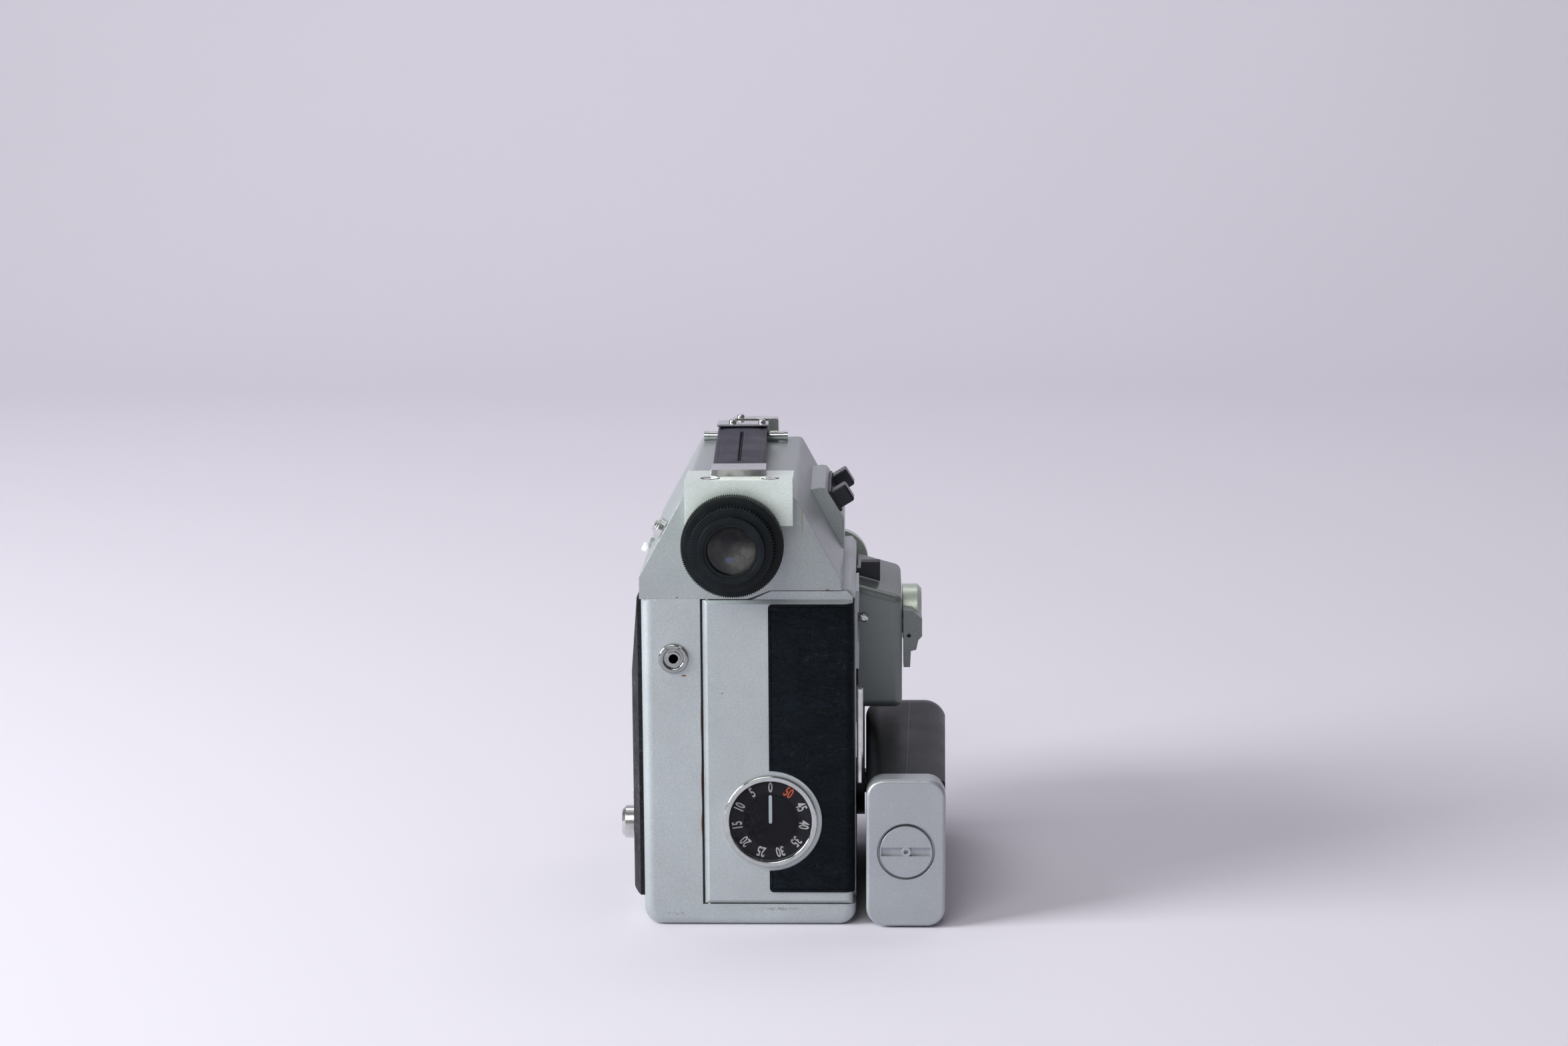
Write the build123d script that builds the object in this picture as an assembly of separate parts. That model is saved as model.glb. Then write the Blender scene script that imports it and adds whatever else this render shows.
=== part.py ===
from build123d import *
import math
import os

os.makedirs("parts", exist_ok=True)

# Film camera with a folded side grip.  Millimetres, +X right seen from behind, +Y toward the
# lens, +Z up.  The origin is the mouth of the tripod socket in the flat base.

# ---------------------------------------------------------------- driving dimensions
CASE_LEFT = -40.0
CASE_RIGHT = 40.3
CASE_REAR = -62.0
CASE_FRONT = 57.0
SEAM_LEFT_Z = 126.4
SEAM_RIGHT_Z = 129.6
WALL = 2.5
BASE_ROUND = 6.5
REAR_ROUND = 4.0
ROOF_TILT = 0.0525
ROOF_Z = 164.6
ROOF_LEFT = -23.9
ROOF_RIGHT = 18.1
LEFT_TAPER = 1.5 / 119

DOOR_LEFT = -16.4
DOOR_RIGHT = 39.3
DOOR_BOTTOM = 9.0
DOOR_TOP = 126.0
DOOR_FACE = -63.0
DOOR_BACK = -59.2
DOOR_GAP = 0.4
DOOR_WRAP = -50.0
HINGE_X = -15.2
HINGE_Y = -60.9
HINGE_PIN_R = 0.7
HINGE_BORE_R = 0.76
KNUCKLE_R = 1.8
RELIEF_R = 2.7

CHAMBER_X0 = -8.8
CHAMBER_X1 = 16.8
CHAMBER_Y1 = 18.0
CHAMBER_Z0 = 34.0
CHAMBER_Z1 = 105.5
CHAMBER_WALL = 1.3

LENS_X = 4.0
LENS_Z = 86.0
LENS_REAR = 26.0
LENS_MOUTH = 122.0
BARREL_R = 25.0
RING_BORE_R = 25.06
FILTER_R = 27.1
FPS_DIAL_X = 32.5
FPS_DIAL_Z = 118.8
FPS_DIAL_R = 12.5

EYE_X = -5.0
EYE_Z = 148.3

BUMP_REAR = -6.0
BUMP_FRONT = 39.0
ZOOM_HALF = 15.0
ZOOM_RAISE = 1.5

COUNTER_X = 8.1
COUNTER_Z = 41.4

GRIP_LEFT = 44.1
GRIP_RIGHT = 74.0
GRIP_FLARE = 3.2
GRIP_REAR = -55.0
GRIP_LOW = 0.8
GRIP_HIGH = 56.4
GRIP_NOSE_R = 30.5
PIVOT_Y = 48.0
PIVOT_Z = 28.6
PIVOT_PIN_R = 5.0
PIVOT_BORE_R = 5.06
CAP_REAR = -65.0
COIN_X = 59.1
COIN_Z = 30.0
COIN_R = 9.9

CELL_R = 7.2
CELL_LENGTH = 50.5

POD_LEFT = 41.0
POD_RIGHT = 58.4
POD_REAR = 0.0
POD_FRONT = 56.0
POD_LOW = 70.4
POD_HIGH_LEFT = 119.7
POD_HIGH_RIGHT = 114.8
POD_RISE = 0.062
KNOB_Y = 28.0
KNOB_Z = 104.0
LEVER_Y = 9.0
LEVER_Z = 101.0

SHUTTER_X = 18.0
MOTOR_X = 26.0
GEAR_DISTANCE = 20.0
GEAR_TEETH = 40
GEAR_TIP = 10.3
GEAR_ROOT = 9.45
GEAR_PHASE = 0.1162
MOTOR_Z = LENS_Z - math.sqrt(GEAR_DISTANCE**2 - (MOTOR_X - SHUTTER_X) ** 2)
SPINDLE_Y = -20.0
WORM_DISTANCE = 11.0


# ---------------------------------------------------------------- helpers
def box(x0, x1, y0, y1, z0, z1):
    """Box between two corners."""
    centre = Pos((x0 + x1) / 2, (y0 + y1) / 2, (z0 + z1) / 2)
    return centre * Box(x1 - x0, y1 - y0, z1 - z0)


def rod_x(radius, x0, x1, y, z):
    """Cylinder along X."""
    return Pos((x0 + x1) / 2, y, z) * Rot(0, 90, 0) * Cylinder(radius, x1 - x0)


def rod_y(radius, y0, y1, x, z):
    """Cylinder along Y."""
    return Pos(x, (y0 + y1) / 2, z) * Rot(90, 0, 0) * Cylinder(radius, y1 - y0)


def rod_z(radius, z0, z1, x, y):
    """Cylinder along Z."""
    return Pos(x, y, (z0 + z1) / 2) * Cylinder(radius, z1 - z0)


def ring_y(outer, inner, y0, y1, x, z):
    """Tube along Y."""
    return rod_y(outer, y0, y1, x, z) - rod_y(inner, y0 - 1, y1 + 1, x, z)


def prism_y(points, y0, y1, rise=0.0, lean=0.0):
    """Polygon in X and Z pushed from y0 to y1, climbing by rise and shifting by lean."""
    wire = Polyline(*[(x, y0, z) for x, z in points], close=True)
    path = Vector(lean, 1, rise)
    return extrude(make_face(wire), (y1 - y0) * path.length, dir=path.normalized())


def prism_x(points, x0, x1):
    """Polygon in Y and Z pushed from x0 to x1."""
    wire = Polyline(*[(x0, y, z) for y, z in points], close=True)
    return extrude(make_face(wire), x1 - x0, dir=Vector(1, 0, 0))


def prism_z(points, z0, z1):
    """Polygon in X and Y pushed from z0 to z1."""
    wire = Polyline(*[(x, y, z0) for x, y in points], close=True)
    return extrude(make_face(wire), z1 - z0, dir=Vector(0, 0, 1))


def toothed(teeth, tip, root, phase=0.0):
    """Outline points of a wheel with straight-sided teeth, in its own plane."""
    points = []
    step = 2 * math.pi / teeth
    for n in range(teeth):
        for share, radius in ((-0.30, root), (-0.14, tip), (0.14, tip), (0.30, root)):
            turn = (n + share) * step + phase
            points.append((radius * math.cos(turn), radius * math.sin(turn)))
    return points


def wheel_y(teeth, tip, root, y0, y1, x, z, phase=0.0):
    """Toothed wheel along Y."""
    return prism_y([(x + a, z + b) for a, b in toothed(teeth, tip, root, phase)], y0, y1)


def wheel_x(teeth, tip, root, x0, x1, y, z, phase=0.0):
    """Toothed wheel along X."""
    return prism_x([(y + a, z + b) for a, b in toothed(teeth, tip, root, phase)], x0, x1)


def slotted_head(radius, z0, z1, x, y, turn=0.0):
    """Domed screw head along Z with one straight slot."""
    head = rod_z(radius, z0, z1, x, y)
    head = fillet(head.edges().sort_by(Axis.Z)[-1], (z1 - z0) * 0.5)
    slot = Pos(x, y, z1) * Rot(0, 0, turn) * Box(radius * 2.2, radius * 0.3, (z1 - z0))
    return head - slot


def near(edge, x=None, y=None, z=None, slack=0.05):
    """True when the middle of an edge lies at the given coordinates."""
    middle = edge @ 0.5
    checks = ((x, middle.X), (y, middle.Y), (z, middle.Z))
    return all(want is None or abs(want - have) < slack for want, have in checks)


def save(name, shape):
    """Write one node."""
    shape.label = name
    export_step(shape, f"parts/{name}.step")


# ---------------------------------------------------------------- main casing
case_profile = [
    (CASE_LEFT, 0),
    (CASE_RIGHT, 0),
    (CASE_RIGHT, 127.6),
    (38.6, SEAM_RIGHT_Z),
    (8.5, SEAM_RIGHT_Z),
    (0, SEAM_LEFT_Z),
    (CASE_LEFT, SEAM_LEFT_Z),
]
casing = prism_y(case_profile, CASE_REAR, CASE_FRONT)
long_low = [e for e in casing.edges() if near(e, y=-2.5, z=0.0) and abs((e @ 0.5).X) > 39]
casing = fillet(long_low, BASE_ROUND)
rear_rim = [e for e in casing.edges() if near(e, y=CASE_REAR) and (e @ 0.5).Z < 100]
casing = fillet(rear_rim, REAR_ROUND)
front_rim = [e for e in casing.edges() if near(e, y=CASE_FRONT) and (e @ 0.5).Z < 100]
casing = chamfer(front_rim, 1.5)
casing -= box(CASE_LEFT + WALL, CASE_RIGHT - WALL, -47.7, 54, WALL, 123.5)
casing -= box(CASE_LEFT + WALL, 35.2, -57.2, -47.6, WALL, 123.5)
casing -= box(-33, 33.3, 53, 58, 7, 119)
door_recess_floor = DOOR_BOTTOM - DOOR_GAP
casing -= box(DOOR_LEFT - 0.8, 45, -70, DOOR_BACK, door_recess_floor, 126.4)
casing -= box(-30, 45, -70, DOOR_BACK, 126.3, 135) & box(DOOR_LEFT - 0.8, 45, -70, -50, 120, 135)
casing -= box(37.5, 45, -60, DOOR_WRAP + DOOR_GAP, door_recess_floor, 126.4)
casing -= rod_z(RELIEF_R, door_recess_floor, 126.4, HINGE_X, HINGE_Y)
casing -= box(CHAMBER_X0, CHAMBER_X1, -62, -50, CHAMBER_Z0, CHAMBER_Z1)
casing -= box(CHAMBER_X0 - 1.3, CHAMBER_X1 + 1.3, -57.2, -50, CHAMBER_Z0 - 1.3, CHAMBER_Z1 + 1.3)
casing -= rod_z(HINGE_PIN_R, 4.0, 9.0, HINGE_X, HINGE_Y)
casing -= box(-20, 12, 10, 48, 120, 130)
casing -= rod_y(4.4, -63, -56, -27.8, 103.8)
casing -= box(37, 41, -47.2, -44.8, 61.6, 82.4)
casing -= rod_z(4.5, -1, 5, 0, 0)
casing += rod_z(8.0, 0.6, 9.0, 0, 0) - rod_z(4.5, -1, 10, 0, 0)
casing -= rod_x(1.5, -43, -37, -22, 30)
casing -= rod_x(1.2, -43, -37, -15.2, 40.5)
casing -= box(37, 41, 13.2, 22.8, 121.1, 123.2)
casing += box(CASE_RIGHT - 0.5, CASE_RIGHT + 1.2, -42, -4, 95.5, 125.5)
casing -= box(CASE_RIGHT + 0.6, CASE_RIGHT + 3, -43, -3, 106.2, 117.4)
save("main_casing", casing)

# ---------------------------------------------------------------- top housing
top_profile = [
    (-40.4, 110),
    (-40.4, 134.8),
    (ROOF_LEFT, ROOF_Z),
    (ROOF_RIGHT, ROOF_Z),
    (34.6, 134.2),
    (35.3, 129.6),
    (35.3, 110),
]
top_core = [
    (-37.9, 100),
    (-37.9, 134.2),
    (-22.5, 162.4),
    (16.8, 162.4),
    (32.1, 133.8),
    (32.8, 129.0),
    (32.8, 100),
]
bump_profile = [(22.6, 158.95), (26.8, 159.6), (28.3, 159.3), (29.28, 158.17), (35.35, 148.16),
                (35.7, 146.6), (35.76, 135.4), (25, 140)]
below_seam = [(-60, 60), (60, 60), (60, 129.6), (8.5, 129.6), (0, 126.4), (-60, 126.4)]
left_waste = [(-40.4, 90), (-40.4, 134.8), (-18.36, 174.6), (-60, 174.6), (-60, 90)]
top = prism_y(top_profile, CASE_REAR, CASE_FRONT, ROOF_TILT)
top -= prism_y(left_waste, CASE_REAR, CASE_FRONT + 1, ROOF_TILT, LEFT_TAPER)
roof_long = [e for e in top.edges() if (e @ 0.5).Z > 160 and e.length > 100]
top = fillet(roof_long, 2.5)
top += prism_y(bump_profile, BUMP_REAR, BUMP_FRONT, ROOF_TILT)
top -= prism_y(below_seam, -80, 80)
top -= prism_y(top_core, CASE_REAR + WALL, CASE_FRONT - WALL, ROOF_TILT)
top_floor = prism_y([(-37.8, 126.4), (0, 126.4), (8.5, 129.6), (32.7, 129.6), (32.7, 131.2),
                     (8, 131.2), (-0.5, 128), (-37.8, 128)], CASE_REAR + 1, CASE_FRONT - 1)
top += top_floor - box(-20, 12, 10, 48, 120, 135)
top += box(-19, -11.4, -61.5, -56.5, 126.4, 132)
top -= rod_z(HINGE_PIN_R, 120, 131, HINGE_X, HINGE_Y)
top -= rod_y(9.5, -70, -50, EYE_X, EYE_Z)
left_normal = Vector(-(ROOF_Z - 134.8), 0, (ROOF_LEFT + 40.4)).normalized()
dial_plane = Plane(origin=Vector(-31.4, -54.0, 151.2), x_dir=Vector(0, 1, 0), z_dir=left_normal)
check_plane = Plane(origin=Vector(-38.9, -20.0, 139.2), x_dir=Vector(0, 1, 0),
                    z_dir=left_normal)
top -= dial_plane * Cylinder(1.5, 12)
check_collar = check_plane * Pos(0, -1.4, 0.1) * Cylinder(1.8, 2.2)
check_collar -= check_plane * Pos(0, 1.3, 1.0) * Cylinder(2.15, 4)
top += check_collar
top -= check_plane * Cylinder(1.0, 14)
zoom_normal = Vector(0, 1, ROOF_TILT).cross(Vector(-7.1, 0, 11.7)).normalized()
zoom_plane = Plane(origin=Vector(32.65, 13.8, 153.65), x_dir=Vector(0, 1, ROOF_TILT),
                   z_dir=zoom_normal)
for along in (-ZOOM_HALF, ZOOM_HALF):
    top -= zoom_plane * (Pos(along, ZOOM_RAISE, 0) * Box(8.0, 7.7, 12.0))
save("top_housing", top)

# ---------------------------------------------------------------- viewfinder block
block = box(-22.6, 17.3, -68, -58.5, 155, 172.1) + box(-22.6, 17.3, -60, -44, 160, 172.1)
block += ring_y(17.5, 9.5, -68, -58.5, EYE_X, EYE_Z)
block = block - prism_y(top_profile, CASE_REAR, CASE_FRONT, ROOF_TILT)
block -= box(-60, 60, CASE_REAR, CASE_REAR + 4, 120, 164.7)
block -= rod_y(9.5, -72, -50, EYE_X, EYE_Z)
for screw_x in (-13.3, 8.7):
    block -= rod_z(1.5, 166, 173, screw_x, -62.7) + rod_z(3.75, 170.9, 173, screw_x, -62.7)
save("viewfinder_block", block)

# ---------------------------------------------------------------- front plate
front = box(-38.4, 38.7, CASE_FRONT, 59.5, 3, 124.5)
front = fillet(front.edges().filter_by(Axis.Y), 4)
front += ring_y(29.5, 24, 59, 61, LENS_X, LENS_Z)
front -= rod_y(24.02, 50, 70, LENS_X, LENS_Z)
front += rod_y(9.0, 59, 60.5, FPS_DIAL_X - 5, FPS_DIAL_Z - 6)
front -= rod_y(2.06, 50, 70, FPS_DIAL_X, FPS_DIAL_Z)
save("front_plate", front)

fps_dial = rod_y(FPS_DIAL_R, 61.0, 70.0, FPS_DIAL_X, FPS_DIAL_Z)
fps_dial = fillet(fps_dial.edges().sort_by(Axis.Y)[-1], 3.0)
fps_dial += rod_y(2.0, 57.5, 62.0, FPS_DIAL_X, FPS_DIAL_Z)
fps_dial -= box(FPS_DIAL_X - 0.5, FPS_DIAL_X + 0.5, 69.4, 71, FPS_DIAL_Z + 2, FPS_DIAL_Z + 9)
save("fps_dial", fps_dial)

# ---------------------------------------------------------------- film chamber and gate
chamber = box(CHAMBER_X0 - CHAMBER_WALL, CHAMBER_X1 + CHAMBER_WALL, -57.2,
              CHAMBER_Y1 + CHAMBER_WALL, CHAMBER_Z0 - CHAMBER_WALL, CHAMBER_Z1 + CHAMBER_WALL)
chamber -= box(CHAMBER_X0, CHAMBER_X1, -60, CHAMBER_Y1, CHAMBER_Z0, CHAMBER_Z1)
chamber -= box(LENS_X - 5, LENS_X + 5, 10, 30, LENS_Z - 6, LENS_Z + 6)
spindle_z = MOTOR_Z - WORM_DISTANCE
chamber -= rod_x(2.3, 15, 20, SPINDLE_Y, spindle_z)
save("film_chamber", chamber)

gate = box(LENS_X - 9, LENS_X + 9, CHAMBER_Y1 + CHAMBER_WALL, 20.2, LENS_Z - 14, LENS_Z + 14)
gate -= box(LENS_X - 2.9, LENS_X + 2.9, 10, 30, LENS_Z - 2.1, LENS_Z + 2.1)
save("film_gate", gate)

# ---------------------------------------------------------------- lens
barrel = rod_y(12, LENS_REAR + 2, 48, LENS_X, LENS_Z) + rod_y(24, 46, 64, LENS_X, LENS_Z)
barrel += rod_y(BARREL_R, 61, 116, LENS_X, LENS_Z)
barrel += rod_y(29, 61.2, 65, LENS_X, LENS_Z)
barrel -= rod_y(9, LENS_REAR, 80, LENS_X, LENS_Z)
barrel -= rod_y(21, 52, 104, LENS_X, LENS_Z)
barrel -= rod_y(23.5, 104, 120, LENS_X, LENS_Z)
save("lens_barrel", barrel)

glass_front = rod_y(23.4, 105, 112, LENS_X, LENS_Z)
dome = Pos(LENS_X, 112 - 60 + 5, LENS_Z) * Sphere(60)
glass_front = glass_front & dome
glass_mid = rod_y(20.9, 84, 89, LENS_X, LENS_Z)
glass_rear = rod_y(8.9, 30, 36, LENS_X, LENS_Z)
save("lens_elements", Compound(children=[glass_front.solid(), glass_mid.solid(), glass_rear.solid()]))

filter_ring = ring_y(30, FILTER_R, 116, LENS_MOUTH, LENS_X, LENS_Z)
filter_ring += ring_y(30, BARREL_R, 110.5, 116, LENS_X, LENS_Z)
mouth_rim = [e for e in filter_ring.edges().filter_by(GeomType.CIRCLE)
             if near(e, y=LENS_MOUTH) and e.radius > 29]
filter_ring = chamfer(mouth_rim, 0.6)
save("filter_ring", filter_ring)


def grip_ring(outer, y0, y1, ribs):
    """Rotating lens ring with shallow ribs over its middle."""
    body = rod_y(outer - 0.9, y0, y1, LENS_X, LENS_Z)
    points = toothed(ribs, outer, outer - 1.0)
    body += prism_y([(LENS_X + a, LENS_Z + b) for a, b in points], y0 + 2, y1 - 2)
    return body - rod_y(RING_BORE_R, y0 - 1, y1 + 1, LENS_X, LENS_Z)


zoom_ring = grip_ring(29.5, 65.3, 84.0, 40)
zoom_ring += rod_z(2.0, LENS_Z + 28.0, LENS_Z + 42.0, LENS_X, 75) + rod_z(
    3.2, LENS_Z + 36, LENS_Z + 44, LENS_X, 75)
save("zoom_ring", zoom_ring)
save("focus_ring", grip_ring(31.5, 84.4, 110.2, 60))

# ---------------------------------------------------------------- shutter, motor, spindle
shutter_points = [(SHUTTER_X, LENS_Z)]
for n in range(43):
    turn = math.radians(-15 + n * 5)
    shutter_points.append((SHUTTER_X + 18 * math.cos(turn), LENS_Z + 18 * math.sin(turn)))
shutter = prism_y(shutter_points, 21.4, 22.0) + rod_y(4, 21.4, 22.0, SHUTTER_X, LENS_Z)
shutter += rod_y(1.5, 20.8, 27.0, SHUTTER_X, LENS_Z)
shutter += wheel_y(GEAR_TEETH, GEAR_TIP, GEAR_ROOT, 23.2, 26.0, SHUTTER_X, LENS_Z)
save("shutter_disc", shutter)

motor = rod_y(9.3, 28, 44, MOTOR_X, MOTOR_Z) + rod_y(4, 27.4, 28, MOTOR_X, MOTOR_Z)
motor += rod_y(2.6, 44, 45, MOTOR_X, MOTOR_Z)
motor -= rod_y(1.06, 20, 40, MOTOR_X, MOTOR_Z)
save("drive_motor", motor)

rotor = rod_y(1.0, -28, 39, MOTOR_X, MOTOR_Z)
rotor += wheel_y(GEAR_TEETH, GEAR_TIP, GEAR_ROOT, 23.4, 25.8, MOTOR_X, MOTOR_Z, GEAR_PHASE)
worm = rod_y(2.3, -26, -14, MOTOR_X, MOTOR_Z)
for n in range(6):
    worm += rod_y(2.9, -25.4 + n * 2.0, -24.6 + n * 2.0, MOTOR_X, MOTOR_Z)
save("motor_shaft", rotor + worm)

spindle = wheel_x(24, 7.8, 7.0, 24.2, 27.8, SPINDLE_Y, spindle_z)
spindle += rod_x(2.2, 13.6, 25, SPINDLE_Y, spindle_z)
spindle += box(13.6, 16.2, SPINDLE_Y - 3.2, SPINDLE_Y + 3.2, spindle_z - 0.7, spindle_z + 0.7)
save("take_up_spindle", spindle)

# ---------------------------------------------------------------- electronics
board = box(-35.0, -33.4, -38, 46, 18, 118) - rod_x(1.6, -40, -30, -34, 24)
board -= rod_x(1.6, -40, -30, 42, 112)
board += rod_x(2.4, -37.5, -35.0, -30, 112) + rod_x(2.4, -37.5, -35.0, 40, 24)
save("circuit_board", board)

chips = [
    box(-33.4, -30.4, -20, 0, 60, 68),
    box(-33.4, -30.4, 10, 26, 84, 92),
    rod_x(4.0, -33.4, -22.4, -24, 96),
    rod_x(4.0, -33.4, -22.4, -12, 96),
    rod_x(3.0, -33.4, -26.4, 18, 40),
    rod_x(3.0, -33.4, -26.4, 27, 40),
    box(-33.4, -28.4, 30, 40, 56, 66),
    rod_x(1.3, -33.4, -31.0, -6, 40),
    rod_x(1.3, -33.4, -31.0, -6, 46),
    rod_x(1.3, -33.4, -31.0, -6, 52),
]
save("board_components", Compound(children=[c.solid() for c in chips]))

meter = rod_y(9, 26, 44, -26.0 + 2.0, 110) + box(-30, -18, 44, 47, 104, 118)
save("light_meter", meter)

# ---------------------------------------------------------------- viewfinder
tube = ring_y(9.4, 8.0, -72, 30, EYE_X, EYE_Z)
tube += ring_y(9.4, 3.0, 28.4, 30, EYE_X, EYE_Z)
save("viewfinder_tube", tube)

prism = prism_x([(32, EYE_Z - 7), (46, EYE_Z - 7), (32, EYE_Z + 7)], EYE_X - 7, EYE_X + 7)
save("reflex_prism", prism)

collar = rod_y(18.0, -76, -68, EYE_X, EYE_Z)
collar += prism_y([(EYE_X + a, EYE_Z + b) for a, b in toothed(144, 19.0, 18.55)], -75.6, -69)
collar -= rod_y(9.5, -80, -60, EYE_X, EYE_Z)
collar -= rod_y(13.06, -80, -71.5, EYE_X, EYE_Z)
save("eyepiece_collar", collar)

dioptre = rod_y(15.4, -81, -76.3, EYE_X, EYE_Z) + rod_y(13.0, -76.5, -71.8, EYE_X, EYE_Z)
dioptre += prism_y([(EYE_X + a, EYE_Z + b) for a, b in toothed(84, 16.0, 15.35)], -80.4, -77.0)
dioptre += rod_y(12.2, -84, -80.5, EYE_X, EYE_Z)
dioptre -= rod_y(10.4, -90, -60, EYE_X, EYE_Z)
dioptre += ring_y(10.6, 9.1, -83.6, -82.4, EYE_X, EYE_Z)
save("dioptre_ring", dioptre)

eye_glass = rod_y(10.3, -82.2, -78.5, EYE_X, EYE_Z)
save("eyepiece_lens", eye_glass)

# ---------------------------------------------------------------- remote socket
socket = ring_y(5.65, 3.6, -63.2, -62, -27.8, 103.8)
front_edges = [e for e in socket.edges() if near(e, y=-63.2)]
socket = fillet(front_edges, 0.75)
socket += ring_y(4.4, 1.8, -62.2, -54, -27.8, 103.8)
socket += ring_y(2.7, 1.8, -63.0, -62, -27.8, 103.8)
for turn in (60, 120):
    cut = Pos(-27.8, -63.2, 103.8) * Rot(0, -turn, 0) * Pos(5.2, 0, 0) * Box(1.8, 1.6, 1.2)
    socket -= cut
save("remote_socket", socket)

# ---------------------------------------------------------------- roof furniture
SCREW_Y = -62.7
SCREW_XS = (-13.3, 8.7)
STRAP_MID = -4.0
STRAP_HALF = 9.9
PLATE_HALF = 10.25
STRAP_SKEW = 1.25
ROD_Y = 46.8
ROD_Z = 172.6
screws = []
for screw_x, turn in zip(SCREW_XS, (20, -25)):
    one = slotted_head(3.7, 170.9, 172.4, screw_x, SCREW_Y, turn)
    screws.append((one + rod_z(1.5, 166.5, 171.2, screw_x, SCREW_Y)).solid())

skew = Pos(STRAP_MID, -15, 0) * Rot(0, 0, STRAP_SKEW) * Pos(-STRAP_MID, 15, 0)
plate_x0 = STRAP_MID - PLATE_HALF
plate_x1 = STRAP_MID + PLATE_HALF
rear_plate = prism_x([(-59, 172.1), (-57.6, 172.1), (-57.2, 173.7), (-48, 174.45), (-48, 175.4),
                      (-58.2, 174.6)], plate_x0, plate_x1)
rear_plate += box(-8, 0, -57.4, -50, 172.1, 174.0)
save("strap_rear_plate", skew * rear_plate)

strap = prism_x([(-47.9, 172.6), (-47.9, 175.35), (-20, 176.9), (10, 178.1), (27.9, 178.7),
                 (40, 177.45), (44.5, 177.4), (44.5, 175.4), (30, 175.9), (10, 175.6),
                 (-20, 174.4)], STRAP_MID - STRAP_HALF, STRAP_MID + STRAP_HALF)
strap += prism_x([(-56.5, 174.05), (-56.5, 174.9), (-47.8, 175.3), (-47.8, 173.0),
                  (-49.8, 172.6)], STRAP_MID - 4, STRAP_MID + 4) & box(-30, 30, -49.8, 0, 172, 174.2)
slit = box(STRAP_MID - 0.5, STRAP_MID + 0.5, -43, 17, 170, 182)
slit += rod_z(0.9, 170, 182, STRAP_MID, -43) + rod_z(0.9, 170, 182, STRAP_MID, 17)
strap -= slit & prism_x([(-50, 174.6), (10, 177.2), (25, 177.6), (25, 190), (-50, 190)], -30, 30)
save("carry_strap", skew * strap)

front_clip = prism_x([(27.6, 178.9), (36.0, 178.0), (44.7, 178.0), (44.7, 174.9), (46.3, 174.9),
                      (46.3, 179.1), (34.0, 179.1), (28.6, 179.8), (27.4, 179.4)],
                     plate_x0, plate_x1)
rod = rod_x(1.9, -20.6, 12.3, ROD_Y, ROD_Z)
rod += rod_x(2.05, -21.4, -19.4, ROD_Y, ROD_Z) + rod_x(2.05, 10.8, 12.6, ROD_Y, ROD_Z)
rod = rod - prism_y(top_profile, CASE_REAR, CASE_FRONT, ROOF_TILT)
front_clip = (skew * front_clip) - rod_x(1.95, -25, 25, ROD_Y, ROD_Z)
save("strap_front_rod", rod)
save("strap_front_plate", front_clip)

anchor = box(-10.2, 8.8, 47.6, 55.0, 169, 179.6)
anchor = fillet([e for e in anchor.edges() if near(e, z=179.6) and e.length < 9], 1.2)
anchor = anchor - prism_y(top_profile, CASE_REAR, CASE_FRONT, ROOF_TILT)
anchor -= rod_x(1.95, -25, 25, ROD_Y, ROD_Z) + rod_x(2.1, 10.0, 13.0, ROD_Y, ROD_Z)
save("strap_anchor", anchor)

studs = []
for stud_x, stud_y, stud_z in ((-9.4, 40.0, 179.1), (2.4, 40.0, 179.1), (-6.6, 51.5, 179.6)):
    stud = rod_z(1.5, stud_z, stud_z + 1.3, stud_x, stud_y)
    studs.append(fillet(stud.edges().sort_by(Axis.Z)[-1], 0.9).solid())
save("roof_screws", Compound(children=screws + studs))

# ---------------------------------------------------------------- left side
cover_points = [(-40, -56), (-40, 54), (-41.6, 54), (-44.6, 48), (-44.6, -48), (-41.7, -56)]
cover = prism_z(cover_points, 10.4, 126.0)
cover_cut = prism_y([(-46, 0), (-40, 0), (-40, 10.4), (-43.0, 10.4), (-44.2, 11.2), (-46, 14)], -70, 70)
cover_cut += prism_y([(-46, 127), (-41.7, 127), (-44.6, 96), (-46, 90)], -70, 70)
cover = cover - cover_cut
cover -= rod_x(7.2, -50, -42.5, -22, 30)
cover -= rod_x(1.5, -50, -37, -22, 30)
cover -= rod_x(4.6, -50, -42.0, -15.2, 40.5) + rod_x(1.2, -50, -37, -15.2, 40.5)
save("left_side_cover", cover)

power_knob = rod_x(6.4, -51, -46.2, -22, 30)
power_knob = chamfer(power_knob.edges().sort_by(Axis.X)[0], 1.4)
power_knob += rod_x(5.4, -46.4, -43.0, -22, 30) + rod_x(1.44, -46, -36, -22, 30)
power_knob -= box(-52, -50.4, -22.5, -21.5, 23, 37)
save("power_knob", power_knob)

speed_wheel = rod_x(3.9, -47, -43.0, -15.2, 40.5) + rod_x(1.14, -46, -36, -15.2, 40.5)
speed_wheel += wheel_x(28, 4.3, 3.8, -46.6, -43.4, -15.2, 40.5)
save("speed_wheel", speed_wheel)

exposure = dial_plane * (Pos(0, 0, 1.45) * Cylinder(3.85, 2.1))
exposure += dial_plane * (Pos(0, 0, 2.9) * Cylinder(2.7, 0.8))
exposure += dial_plane * (Pos(0, 0, 3.75) * Cylinder(1.95, 0.9))
exposure += dial_plane * (Pos(0, 0, -2.0) * Cylinder(1.44, 8))
exposure -= dial_plane * (Pos(0, 0, 4.1) * Box(4.4, 0.6, 0.5))
save("exposure_dial", exposure)

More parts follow.
